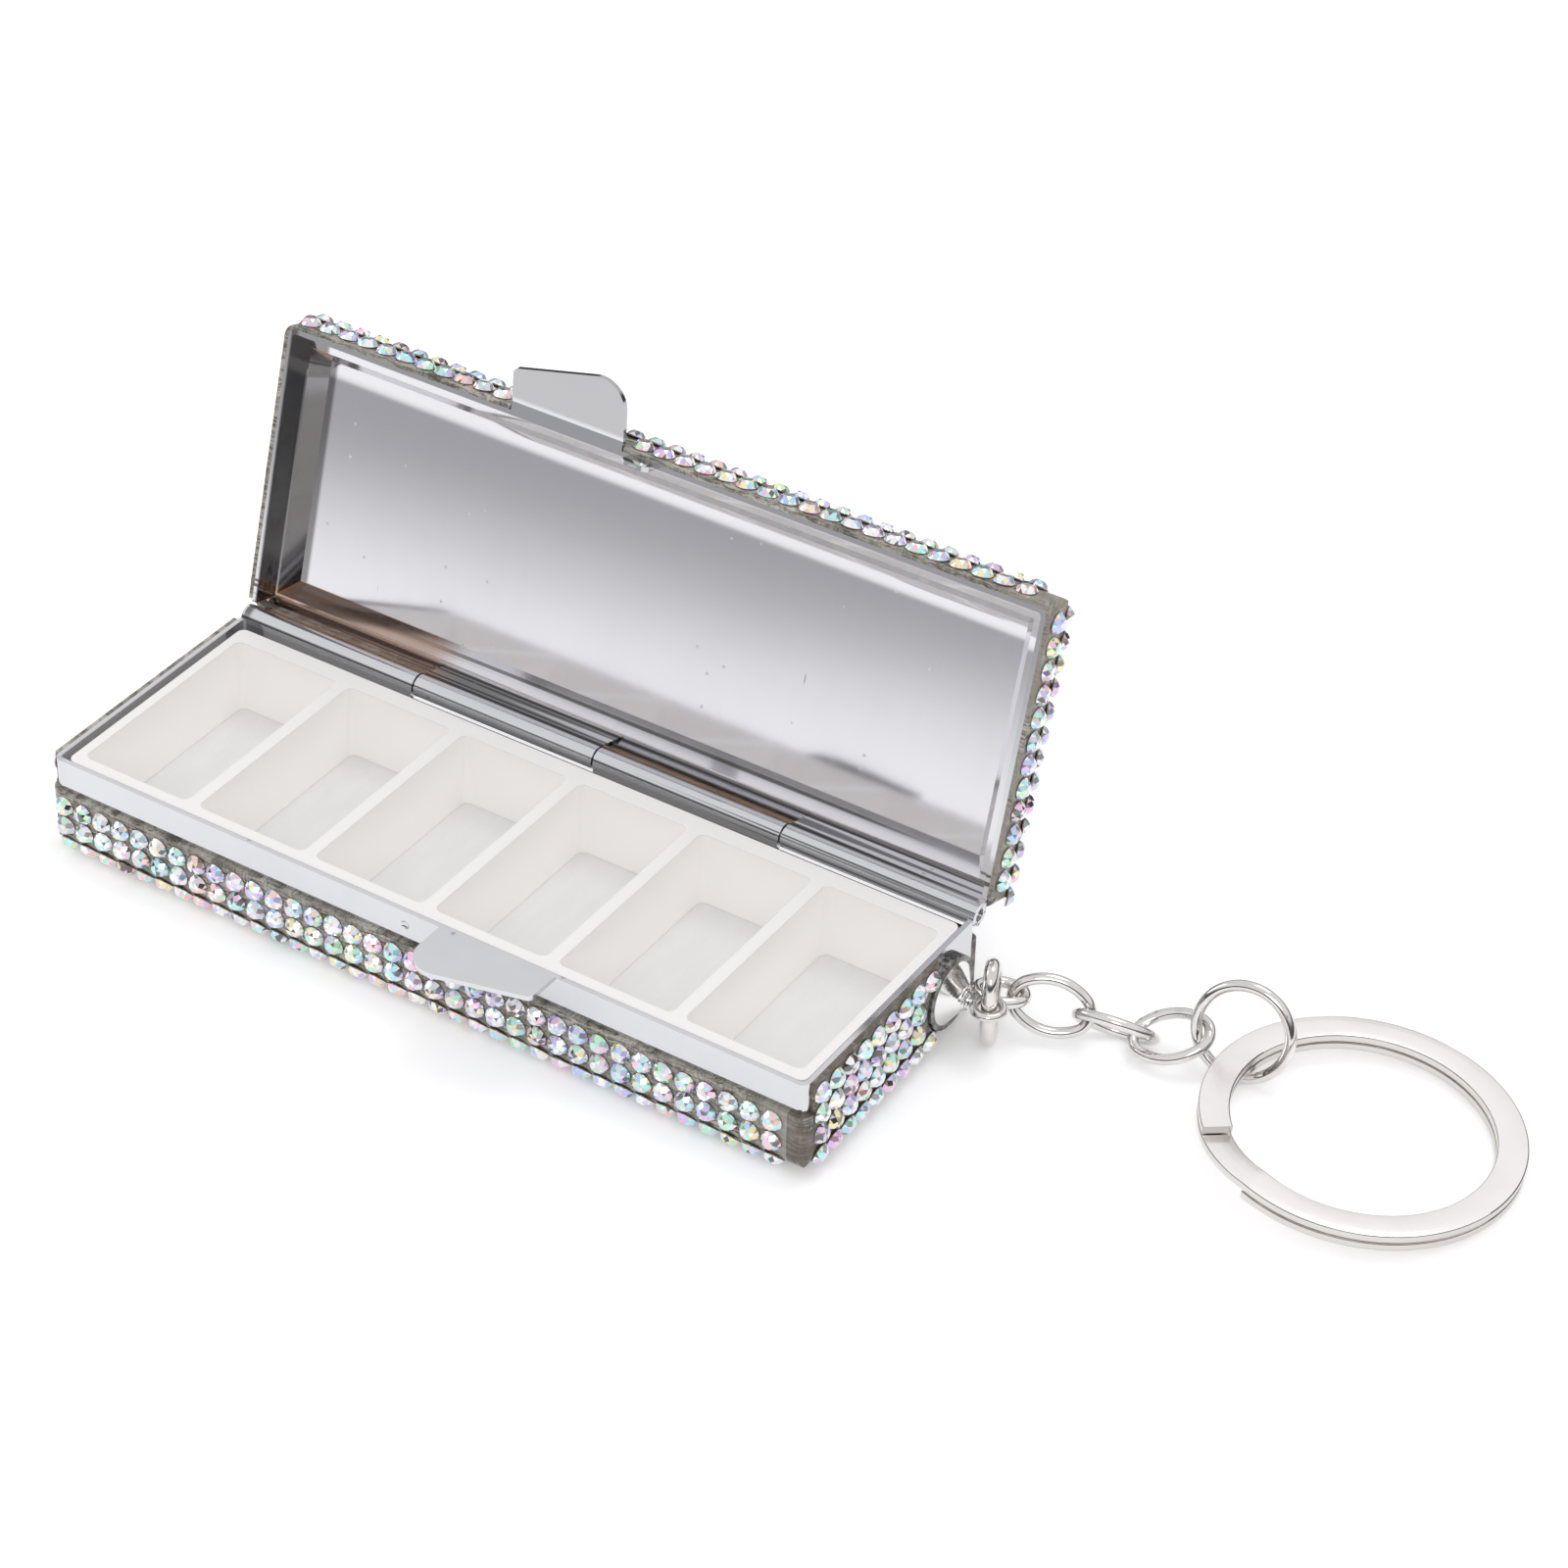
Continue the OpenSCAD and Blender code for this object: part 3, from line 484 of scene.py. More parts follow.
@dataclass(frozen=True)
class PolishedStrip:
    """Flat strip of the key ring, drawn and polished along its length."""

    name: str
    middle: tuple[float, float]
    tint: Colour = (0.93, 0.895, 0.885)

    def build(self) -> bpy.types.Material:
        """Makes the material.

        Returns:
            The finished material.
        """
        g = Graph(self.name)
        here = g.mapped(g.coords(), (1, 1, 1), (-self.middle[0], -self.middle[1], 0))
        flat = g.mapped(here, (1, 1, 0))
        radius = g.node("ShaderNodeVectorMath", {"operation": "LENGTH"}, {0: flat}, "Value")
        values = {"W": radius * 9000, "Scale": 1.0, "Detail": 3}
        lines = g.node("ShaderNodeTexNoise", {"noise_dimensions": "1D"}, values)
        patch = g.noise(here, 160, 3)
        colour = g.mix(patch.above(0.52, 0.3) * 0.3, self.tint, darker(self.tint, 0.86))
        return g.finish(Base_Color=colour, Metallic=1.0, Roughness=0.16 + lines * 0.10 + patch * 0.06,
                        Normal=g.bump(lines + patch, 0.000008))


@dataclass(frozen=True)
class TurnedMetal:
    """Turned bell: dark mottled flange and bright grooved cone."""

    name: str
    flange_x: float
    cone_tint: Colour = (0.80, 0.79, 0.78)
    rough_tints: tuple[Colour, Colour] = ((0.05, 0.047, 0.045), (0.38, 0.37, 0.36))

    def build(self) -> bpy.types.Material:
        """Makes the material.

        Returns:
            The finished material.
        """
        g = Graph(self.name)
        here = g.coords()
        flange = g.axis(here, "X").below(self.flange_x, 0.1 * MM)
        mottle = g.noise(here, 1300, 4, 0.7)
        dark = g.mix(mottle.above(0.5, 0.3), *self.rough_tints)
        colour = g.mix(flange, self.cone_tint, dark)
        return g.finish(Base_Color=colour, Metallic=1.0, Roughness=0.13 + flange * (0.30 + mottle * 0.2),
                        Normal=g.bump(mottle * (0.2 + flange * 0.8), 0.00006))


@dataclass(frozen=True)
class PaleFloor:
    """Pale table with a painted pool of light round the object."""

    name: str = "pale_table"
    middle: Point = (0.04, 0.13, 0.0)
    near: float = 0.205
    far: float = 0.47
    pool_glow: float = 0.22
    near_tint: Colour = (0.94, 0.94, 0.94)
    far_tint: Colour = (0.46, 0.46, 0.472)

    def build(self) -> bpy.types.Material:
        """Makes the material: a painted pool of light, white and glowing round the object, grey further off,
        where the mirror reflects it.

        Returns:
            The finished material.
        """
        g = Graph(self.name)
        here = g.coords()
        ends = {0: here, 1: self.middle}
        away = g.node("ShaderNodeVectorMath", {"operation": "DISTANCE"}, ends, "Value")
        away = away + (g.noise(here, 6, 2) - 0.5) * 0.10
        # Painted light: the table glows white round the object and fades to grey further off.
        dim = g.node("ShaderNodeMapRange", {"interpolation_type": "SMOOTHSTEP"},
                     {"Value": away, "From Min": self.near, "From Max": self.far})
        colour = g.mix(dim, self.near_tint, self.far_tint)
        light = g.mix(dim, (1.0, 1.0, 1.0), (0.0, 0.0, 0.0))
        return g.finish(Base_Color=colour, Roughness=0.8, Specular_IOR_Level=0.1, Emission_Color=light,
                        Emission_Strength=self.pool_glow)


# ---------------------------------------------------------------- pieces


def add_piece(name: str, bm: bmesh.types.BMesh, materials: Sequence[bpy.types.Material], body: str,
              node: str, sharp_deg: float = 30.0, smooth: bool = True) -> bpy.types.Object:
    """Turns a bmesh into a finished piece of the object.

    Args:
        name: Name of the piece.
        bm: Its mesh, in place in metres; it is freed.
        materials: Materials in slot order.
        body: Body that it rides on.
        node: CAD node that it stands for.
        sharp_deg: Edges above this angle stay sharp.
        smooth: Whether the faces are smooth-shaded.

    Returns:
        The new object.
    """
    mesh = bpy.data.meshes.new(name)
    for face in bm.faces:
        face.smooth = smooth
    for edge in bm.edges:
        bend = math.degrees(edge.calc_face_angle(0.0)) if edge.is_manifold else 0.0
        broad = min((face.calc_area() for face in edge.link_faces), default=0.0) > BROAD_FACE
        edge.smooth = bend < sharp_deg and not (broad and bend > FLAT_BEND)
    bm.to_mesh(mesh)
    bm.free()
    for material in materials:
        mesh.materials.append(material)
    piece = bpy.data.objects.new(name, mesh)
    bpy.context.scene.collection.objects.link(piece)
    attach(piece, body)
    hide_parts(node)
    log.info("%s: %d faces on %s", name, len(mesh.polygons), body)
    return piece


def merged_copy(node: str) -> bmesh.types.BMesh:
    """Copies a CAD node's mesh, with its triangles joined up and its flat faces made whole.

    Args:
        node: Name of the node.

    Returns:
        The copy.
    """
    bm = bmesh.new()
    bm.from_mesh(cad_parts[node].data)
    bmesh.ops.remove_doubles(bm, verts=bm.verts, dist=WELD)
    bmesh.ops.dissolve_limit(bm, angle_limit=math.radians(0.4), verts=bm.verts, edges=bm.edges,
                             delimit=set(), use_dissolve_boundaries=False)
    return bm


def break_edges(bm: bmesh.types.BMesh, width: float) -> None:
    """Rounds the edges of a mesh that turn by more than 50 degrees.

    Args:
        bm: Mesh to change.
        width: Width of the rounding in metres.
    """
    edges = [e for e in bm.edges if e.is_manifold and e.calc_face_angle(0.0) > math.radians(50)]
    bmesh.ops.bevel(bm, geom=edges, offset=width, offset_type="OFFSET", segments=2, profile=0.5,
                    affect="EDGES", clamp_overlap=True, material=-1)


def even_normals(piece: bpy.types.Object) -> None:
    """Keeps broad flat faces flat next to their rounded edges.

    Args:
        piece: Piece to finish.
    """
    modifier = piece.modifiers.new("even_normals", "WEIGHTED_NORMAL")
    modifier.keep_sharp = True
    modifier.weight = 80


def dress_node(node: str, material: bpy.types.Material) -> None:
    """Gives a CAD node's own mesh a finish.

    Args:
        node: Name of the node.
        material: Its finish.
    """
    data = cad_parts[node].data
    data.materials.clear()
    data.materials.append(material)
    log.info("%s: kept with %s", node, material.name)


@dataclass
class SheetParts:
    """Pressed case, mirror panel and insert, from the CAD nodes' own shapes."""

    edge: float = 0.07 * MM
    insert_edge: float = 0.22 * MM
    chrome: PlatedSheet = PlatedSheet("chrome_sheet", (0.66, 0.665, 0.68))
    pin: PlatedWire = PlatedWire("hinge_steel", (0.5, 0.5, 0.5), 0.3)

    def build(self) -> None:
        """Makes the pieces."""
        chrome = self.chrome.build()
        for node, body in (("base_shell", "base"), ("lid_shell", "lid")):
            bm = merged_copy(node)
            break_edges(bm, self.edge)
            even_normals(add_piece(f"{node}_plated", bm, [chrome], body, node))
        bm = merged_copy("lid_panel")
        mirror = MirrorPlate().build()
        even_normals(add_piece("lid_mirror", bm, [mirror], "lid", "lid_panel", 12))
        bm = merged_copy("pill_insert")
        break_edges(bm, self.insert_edge)
        white = MouldedInsert(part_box("pill_insert")[1][2]).build()
        even_normals(add_piece("insert_moulding", bm, [white], "base", "pill_insert"))
        dress_node("hinge_pin", self.pin.build())


class Coat(Enum):
    """Tints that single facets take: the rainbow coating's colours and one painted dark reflection."""

    WHITE = (0.97, 0.98, 1.0)
    SILVER = (0.62, 0.64, 0.70)
    CYAN = (0.30, 0.86, 0.90)
    BLUE = (0.32, 0.52, 0.96)
    VIOLET = (0.55, 0.36, 0.92)
    PINK = (0.98, 0.40, 0.70)
    ROSE = (0.95, 0.50, 0.42)
    GOLD = (0.96, 0.84, 0.30)
    GREEN = (0.35, 0.88, 0.48)
    # Painted reflection: dark facets stand in for reflections of dark surroundings.
    DARK_REFLECTION = (0.12, 0.11, 0.11)


COAT_SHARES: dict[Coat, float] = {
    Coat.WHITE: 36, Coat.SILVER: 12, Coat.CYAN: 11, Coat.BLUE: 7, Coat.VIOLET: 8,
    Coat.PINK: 7, Coat.ROSE: 6, Coat.GOLD: 6, Coat.GREEN: 7, Coat.DARK_REFLECTION: 6,
}


@dataclass
class CrystalCladding:
    """Stones set in rows on the mesh, each a cut stone on its CAD seat."""

    girdle_d: float = 2.14 * MM
    table_d: float = 1.16 * MM
    height: float = 0.75 * MM
    rim_h: float = 0.12 * MM
    table_dip: float = 0.03 * MM
    tilt_deg: float = 4.0
    shaded_rim_tint: Colour = (0.34, 0.27, 0.20)
    pale: float = 0.30
    seed: int = 7

    def cut_stone(self) -> bpy.types.Mesh:
        """Makes one stone with its flat back at z = 0: table, star and kite facets, and a girdle.

        Returns:
            Its mesh.
        """
        bm = bmesh.new()
        rings = ((16, self.girdle_d * 0.48, 0.0, 0.5), (16, self.girdle_d / 2, self.rim_h, 0.5),
                 (8, self.girdle_d * 0.395, self.height * 0.66, 0.5), (8, self.table_d / 2, self.height, 0.0))
        for count, radius, level, shift in rings:
            place = Matrix.Translation((0, 0, level)) @ Matrix.Rotation(shift * math.tau / 8, 4, "Z")
            bmesh.ops.create_circle(bm, segments=count, radius=radius, matrix=place)
        hull = bmesh.ops.convex_hull(bm, input=bm.verts)
        loose = [v for v in hull["geom_interior"] if isinstance(v, bmesh.types.BMVert)]
        bmesh.ops.delete(bm, geom=loose, context="VERTS")
        bmesh.ops.dissolve_limit(bm, angle_limit=math.radians(1), verts=bm.verts, edges=bm.edges)
        bmesh.ops.recalc_face_normals(bm, faces=bm.faces)
        bmesh.ops.poke(bm, faces=[f for f in bm.faces if f.normal.z > 0.99], offset=self.table_dip)
        mesh = bpy.data.meshes.new("cut_stone")
        bm.to_mesh(mesh)
        bm.free()
        return mesh

    def seats(self, node: str) -> list[tuple[Vector, Vector]]:
        """Place and outward direction of each stone of a CAD node.

        Args:
            node: Name of the node.

        Returns:
            Pairs of the middle of the stone's flat back and its direction.
        """
        bm = bmesh.new()
        bm.from_mesh(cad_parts[node].data)
        bmesh.ops.remove_doubles(bm, verts=bm.verts, dist=WELD)
        found, seen = [], set()
        for start in bm.faces:
            if start in seen:
                continue
            island, queue = [], [start]
            seen.add(start)
            while queue:
                face = queue.pop()
                island.append(face)
                for edge in face.edges:
                    for other in edge.link_faces:
                        if other not in seen:
                            seen.add(other)
                            queue.append(other)
            areas: dict[tuple, float] = {}
            for face in island:
                key = tuple(round(c, 2) for c in face.normal)
                areas[key] = areas.get(key, 0.0) + face.calc_area()
            back = max(areas, key=areas.get)
            faces = [f for f in island if tuple(round(c, 2) for c in f.normal) == back]
            points = {v for f in faces for v in f.verts}
            middle = sum((v.co for v in points), Vector()) / len(points)
            normal = sum((f.normal * f.calc_area() for f in faces), Vector()).normalized()
            found.append((middle, -normal))
        bm.free()
        found.sort(key=lambda seat: tuple(round(c, 5) for c in seat[0]))
        return found

    def lay(self, name: str, body: str, node: str, stone: bpy.types.Mesh, coat: bpy.types.Material) -> None:
        """Lays the stones of one CAD node.

        Args:
            name: Name of the new piece.
            body: Body it rides on.
            node: CAD node that it stands for.
            stone: Mesh of one stone.
            coat: Material.
        """
        rng = random.Random(f"{self.seed} {node}")
        bm = bmesh.new()
        layer = bm.loops.layers.float_color.new(COAT_LAYER)
        coats, shares = list(COAT_SHARES), list(COAT_SHARES.values())
        for middle, out in self.seats(node):
            known_v, known_f = len(bm.verts), len(bm.faces)
            bm.from_mesh(stone)
            bm.verts.ensure_lookup_table()
            bm.faces.ensure_lookup_table()
            lean = Matrix.Rotation(math.radians(rng.uniform(-1, 1) * self.tilt_deg), 4, "X")
            spun = Matrix.Rotation(rng.uniform(0, math.tau), 4, "Z")
            aim = out.to_track_quat("Z", "Y").to_matrix().to_4x4()
            place = Matrix.Translation(middle) @ aim @ spun @ lean
            bmesh.ops.transform(bm, matrix=place, verts=bm.verts[known_v:])
            own = rng.choices(coats, shares, k=3)
            for face in bm.faces[known_f:]:
                rise = face.normal.dot(out)
                tint = rng.choice(own if rng.random() < 0.7 else coats).value
                # Partly the setting cup's edge and partly painted shade between stones: the girdle facets are
                # painted brown.
                if rise < 0.25:
                    tint = self.shaded_rim_tint
                elif tint is not Coat.DARK_REFLECTION.value:
                    tint = tuple(c + (1 - c) * self.pale for c in tint)
                light = rng.uniform(0.88, 1.0)
                for loop in face.loops:
                    loop[layer] = (*(c * light for c in tint), 1.0)
        add_piece(name, bm, [coat], body, node, smooth=False)

    def build(self) -> None:
        """Makes every field of stones."""
        stone, coat = self.cut_stone(), CoatedCrystal().build()
        for side in ("front", "back", "left", "right"):
            self.lay(f"base_crystals_{side}", "base", f"base_stones_{side}", stone, coat)
        for side in ("top", "front", "back", "left", "right"):
            self.lay(f"lid_crystals_{side}", "lid", f"lid_stones_{side}", stone, coat)


@dataclass
class MeshSkins:
    """Backing of the crystal mesh, on the CAD nodes' own shapes."""

    net: MeshBacking = MeshBacking("mesh_backing")
    shaded: MeshBacking = MeshBacking("mesh_backing_end", (0.13, 0.11, 0.085), (0.04, 0.032, 0.024))
    glued: MeshBacking = MeshBacking("mesh_backing_lid", glue_top=13.6 * MM)

    def build(self) -> None:
        """Gives the CAD nodes their finish."""
        net, shaded, glued = self.net.build(), self.shaded.build(), self.glued.build()
        nodes = [f"base_mesh_{side}" for side in ("front", "under", "back", "left", "right")]
        nodes += ["lid_mesh", "lid_mesh_left", "lid_mesh_right"]
        for node in nodes:
            dress_node(node, {"base_mesh_right": shaded, "lid_mesh": glued}.get(node, net))


@dataclass
class WireOval:
    """Oval of round wire made of four arcs, lying flat with its length along x."""

    half_l: float
    half_w: float
    end_r: float
    wire_r: float
    round_steps: int = 16
    arc_steps: int = 16

    def build(self) -> bmesh.types.BMesh:
        """Makes the closed wire.

        Returns:
            Its mesh.
        """
        bm = bmesh.new()
        reach = self.half_l - self.end_r
        side_r = (reach**2 + self.half_w**2 - self.end_r**2) / (2 * (self.half_w - self.end_r))
        turn = math.atan2(side_r - self.half_w, reach)
        place = Matrix.Translation((reach, 0, 0)) @ Matrix.Rotation(-turn, 4, "Z")
        place = place @ Matrix.Translation((self.end_r, 0, 0)) @ Matrix.Rotation(math.pi / 2, 4, "X")
        made = bmesh.ops.create_circle(bm, segments=self.round_steps, radius=self.wire_r, matrix=place)
        geom = made["verts"] + list({e for v in made["verts"] for e in v.link_edges})
        arcs = ((reach, 0.0, 2 * turn), (0.0, self.half_w - side_r, math.pi - 2 * turn),
                (-reach, 0.0, 2 * turn), (0.0, side_r - self.half_w, math.pi - 2 * turn))
        for x, y, angle in arcs:
            spun = bmesh.ops.spin(bm, geom=geom, cent=(x, y, 0), axis=(0, 0, 1), angle=angle,
                                  steps=self.arc_steps)
            geom = spun["geom_last"]
        bmesh.ops.remove_doubles(bm, verts=bm.verts, dist=1e-7)
        bmesh.ops.recalc_face_normals(bm, faces=bm.faces)
        return bm


def wire_ring(radius: float, wire_r: float, steps: int = 96) -> bmesh.types.BMesh:
    """Makes a closed ring of round wire lying flat.

    Args:
        radius: Radius of the ring at the wire's middle.
        wire_r: Radius of the wire.
        steps: Steps round the ring.

    Returns:
        Its mesh.
    """
    bm = bmesh.new()
    place = Matrix.Translation((radius, 0, 0)) @ Matrix.Rotation(math.pi / 2, 4, "X")
    made = bmesh.ops.create_circle(bm, segments=16, radius=wire_r, matrix=place)
    geom = made["verts"] + list({e for v in made["verts"] for e in v.link_edges})
    bmesh.ops.spin(bm, geom=geom, cent=(0, 0, 0), axis=(0, 0, 1), angle=math.tau, steps=steps, use_merge=True)
    bmesh.ops.remove_doubles(bm, verts=bm.verts, dist=1e-7)
    bmesh.ops.recalc_face_normals(bm, faces=bm.faces)
    return bm


@dataclass
class ChainWork:
    """Post, eye, upright ring, links and jump ring, at the CAD model's sizes in millimetres."""

    case_half: float = 42.5
    post_y: float = 9.3
    post_z: float = 5.6
    post_r: float = 3.7
    flange: float = 0.7
    bell: float = 2.1
    neck_r: float = 0.9
    lip: float = 0.5
    taper: float = 1.6
    grooves: int = 10
    groove: float = 0.14
    eye_r: float = 1.35
    eye_wire: float = 0.42
    stem_r: float = 0.4
    stem_in: float = 1.4
    bell_steps: int = 72
    eye_steps: int = 64
    stem_steps: int = 20
    ring_half: tuple[float, float] = (3.95, 1.95)
    ring_end_r: float = 1.5
    ring_wire: float = 0.75
    ring_yaw: float = 114.0
    table_gap: float = 0.02
    wire_r: float = 0.55
    small: tuple[float, float, float] = (2.25, 1.75, 1.4)
    link: tuple[float, float, float] = (3.7, 2.5, 1.9)
    jump_r: float = 4.45
    hook_z: float = 4.55
    hook_gap: float = 0.15
    yaws: tuple[float, ...] = (22, 21, 19, 16, 15)
    slopes: tuple[float, ...] = (4, 12, 11, -18, -20)
    leans: tuple[float, ...] = (-7, 68, -48, 20, 72)
    slacks: tuple[float, ...] = (0, 0, 0, 0.8, 0)

    @property
    def eye_middle(self) -> Vector:
        """Middle of the eye."""
        out = self.case_half + self.flange + self.bell + self.eye_r + self.eye_wire
        return Vector((out, self.post_y, self.post_z))

    @property
    def ring_out(self) -> Vector:
        """Direction from the eye's side of the upright ring to its far side."""
        yaw = math.radians(self.ring_yaw)
        return Vector((math.cos(yaw), math.sin(yaw), 0))

    @property
    def ring_middle(self) -> Vector:
        """Middle of the upright ring.

        Returns:
            The point, in millimetres.
        """
        at = self.eye_middle + self.ring_half[1] * self.ring_out
        at.z = self.ring_half[0] + self.ring_wire + self.table_gap
        return at

    def direction(self, i: int) -> Vector:
        """Direction in which chain piece i runs."""
        yaw, slope = math.radians(self.yaws[i]), math.radians(self.slopes[i])
        return Vector((math.cos(yaw) * math.cos(slope), math.sin(yaw) * math.cos(slope), -math.sin(slope)))

    def middles(self) -> list[Vector]:
        """Works out where the chain pieces hang, each hooked through the one before.

        Returns:
            Middles of the four links and the jump ring.
        """
        halves = (self.small[0], self.link[0], self.link[0], self.link[0], self.jump_r)
        hook = self.wire_r + self.hook_gap / 2
        far = self.ring_middle + self.ring_half[1] * self.ring_out
        far.z = self.hook_z
        found = [far + (halves[0] - self.ring_wire - self.wire_r - self.hook_gap) * self.direction(0)]
        for i in range(1, 5):
            out = (halves[i - 1] - hook) * self.direction(i - 1)
            found.append(found[-1] + (out + (halves[i] - hook - self.slacks[i]) * self.direction(i)))
        return found

    def place(self, i: int) -> Matrix:
        """Works out the place of a chain piece.

        Args:
            i: Number of the piece.

        Returns:
            Matrix that puts it there, in millimetres.
        """
        turned = Matrix.Translation(self.middles()[i])
        for angle, axis in ((self.yaws[i], "Z"), (self.slopes[i], "Y"), (self.leans[i], "X")):
            turned = turned @ Matrix.Rotation(math.radians(angle), 4, axis)
        return turned

    def put(self, name: str, bm: bmesh.types.BMesh, matrix: Matrix, material: bpy.types.Material,
            body: str, node: str) -> None:
        """Moves a mesh in millimetres into place and adds it."""
        bmesh.ops.transform(bm, matrix=Matrix.Scale(MM, 4) @ matrix, verts=bm.verts)
        add_piece(name, bm, [material], body, node, 35)

    def bell_mesh(self) -> bmesh.types.BMesh:
        """Makes the bell about the z axis, its flange at z = 0.

        Returns:
            Its mesh.
        """
        bm = bmesh.new()
        profile = [(0.0, 0.0), (self.post_r, 0.0), (self.post_r, self.flange)]
        for i in range(self.grooves + 1):
            t = i / self.grooves
            r = self.neck_r + (self.post_r - self.lip - self.neck_r) * (1 - t) ** self.taper
            profile.append((r, self.flange + self.bell * t))
            if i < self.grooves:
                profile.append((r - self.groove, self.flange + self.bell * (t + 0.4 / self.grooves)))
        profile += [(self.stem_r, self.flange + self.bell), (0.0, self.flange + self.bell)]
        verts = [bm.verts.new((r, 0, z)) for r, z in profile]
        edges = [bm.edges.new(pair) for pair in zip(verts, verts[1:])]
        bmesh.ops.spin(bm, geom=verts + edges, cent=(0, 0, 0), axis=(0, 0, 1), angle=math.tau,
                       steps=self.bell_steps, use_merge=True)
        bmesh.ops.remove_doubles(bm, verts=bm.verts, dist=1e-5)
        bmesh.ops.recalc_face_normals(bm, faces=bm.faces)
        return bm

    def eye_mesh(self) -> bmesh.types.BMesh:
        """Makes the flat eye with its stem towards -x.

        Returns:
            Its mesh.
        """
        bm = wire_ring(self.eye_r, self.eye_wire, self.eye_steps)
        length = self.eye_wire + self.stem_in
        place = Matrix.Translation((-self.eye_r - length / 2, 0, 0)) @ Matrix.Rotation(math.pi / 2, 4, "Y")
        bmesh.ops.create_cone(bm, cap_ends=True, segments=self.stem_steps, radius1=self.stem_r,
                              radius2=self.stem_r, depth=length, matrix=place)
        return bm

    def build(self) -> None:
        """Makes the pieces."""
        wire = PlatedWire("chain_wire").build()
        bell = TurnedMetal("turned_bell", (self.case_half + self.flange + 0.03) * MM).build()
        along = Matrix.Translation((self.case_half, self.post_y, self.post_z))
        along = along @ Matrix.Rotation(math.pi / 2, 4, "Y")
        self.put("bell_post", self.bell_mesh(), along, bell, "base", "chain_post")
        self.put("bell_eye", self.eye_mesh(), Matrix.Translation(self.eye_middle), wire, "base", "post_eye")
        upright = Matrix.Translation(self.ring_middle) @ Matrix.Rotation(math.radians(self.ring_yaw), 4, "Z")
        upright = upright @ Matrix.Rotation(math.pi / 2, 4, "Z") @ Matrix.Rotation(math.pi / 2, 4, "Y")
        oval = WireOval(*self.ring_half, self.ring_end_r, self.ring_wire).build()
        self.put("upright_ring", oval, upright, wire, "post_ring", "post_ring")
        for i in range(4):
            size = self.small if i == 0 else self.link
            oval = WireOval(*size, self.wire_r).build()
            self.put(f"wire_link_{i + 1}", oval, self.place(i), wire, f"link_{i + 1}", f"chain_link_{i + 1}")
        jump = wire_ring(self.jump_r, self.wire_r)
        self.put("wire_jump_ring", jump, self.place(4), wire, "jump_ring", "jump_ring")


@dataclass
class SplitRing:
    """Flat strip wound twice round, in millimetres, as thin as the photo shows it."""

    outer_d: float = 29.6
    strip_w: float = 2.8
    strip_t: float = 0.78
    turn_gap: float = 0.12
    step_deg: float = 30.0
    end_deg: float = 221.0
    turn_steps: int = 132
    rise_steps: int = 12
    edge: float = 0.12
    side_shade_tint: Colour = (0.66, 0.64, 0.62)
    corner_shade_tint: Colour = (0.20, 0.185, 0.175)
    flat_rise: float = 0.95
    side_rise: float = 0.35
    offset: Point = (13.7, -2.8, -3.78)
    tilt_deg: float = 4.2
    tilt_dir: float = 212.0

    def build(self, jump_middle: Vector) -> None:
        """Makes the ring.

        Args:
            jump_middle: Middle of the jump ring in millimetres.
        """
        bm = bmesh.new()
        inner = self.outer_d / 2 - self.strip_w
        turned = Matrix.Rotation(math.radians(self.end_deg + self.step_deg), 4, "Z")
        place = turned @ Matrix.Translation((inner + self.strip_w / 2, 0, self.strip_t / 2))
        place = place @ Matrix.Rotation(math.pi / 2, 4, "X")
        place = place @ Matrix.Diagonal((self.strip_w, self.strip_t, 1, 1))
        made = bmesh.ops.create_grid(bm, x_segments=1, y_segments=1, size=0.5, matrix=place)
        bmesh.ops.bevel(bm, geom=made["verts"], offset=self.edge, offset_type="OFFSET", segments=3,
                        profile=0.5, affect="VERTICES", clamp_overlap=True, material=-1)
        geom = list(bm.edges) + list(bm.verts)
        lift = self.strip_t + self.turn_gap
        turn_deg = 360 - self.step_deg
        turn = (turn_deg, 0.0, self.turn_steps)
        for angle, rise, steps in (turn, (self.step_deg, lift, self.rise_steps), turn):
            spun = bmesh.ops.spin(bm, geom=geom, cent=(0, 0, 0), axis=(0, 0, 1), dvec=(0, 0, rise / steps),
                                  angle=math.radians(angle), steps=steps)
            geom = spun["geom_last"]
        last = [g for g in geom if isinstance(g, bmesh.types.BMEdge)]
        bmesh.ops.contextual_create(bm, geom=last)
        bmesh.ops.remove_doubles(bm, verts=bm.verts, dist=1e-6)
        bmesh.ops.recalc_face_normals(bm, faces=bm.faces)
        middle = jump_middle + Vector(self.offset)
        place = Matrix.Scale(MM, 4) @ Matrix.Translation(middle)
        for angle, axis in ((self.tilt_dir, "Z"), (-self.tilt_deg, "Y"), (-self.tilt_dir, "Z")):
            place = place @ Matrix.Rotation(math.radians(angle), 4, axis)
        bmesh.ops.transform(bm, matrix=place, verts=bm.verts)
        bm.normal_update()
        # Painted shade: by how each face faces, the flat tops keep the strip's tint, the sides are painted
        # mid-grey and the rounded corners dark.
        for face in bm.faces:
            rise = abs(face.normal.z)
            face.material_index = int(rise < self.flat_rise) + int(self.side_rise < rise < self.flat_rise)
        at = (middle.x * MM, middle.y * MM)
        finishes = (PolishedStrip("ring_strip", at), PolishedStrip("ring_strip_side_shade", at, self.side_shade_tint),
                    PolishedStrip("ring_strip_corner_shade", at, self.corner_shade_tint))
        add_piece("split_ring", bm, [f.build() for f in finishes], "key_ring", "key_ring", 40)


# ---------------------------------------------------------------- studio


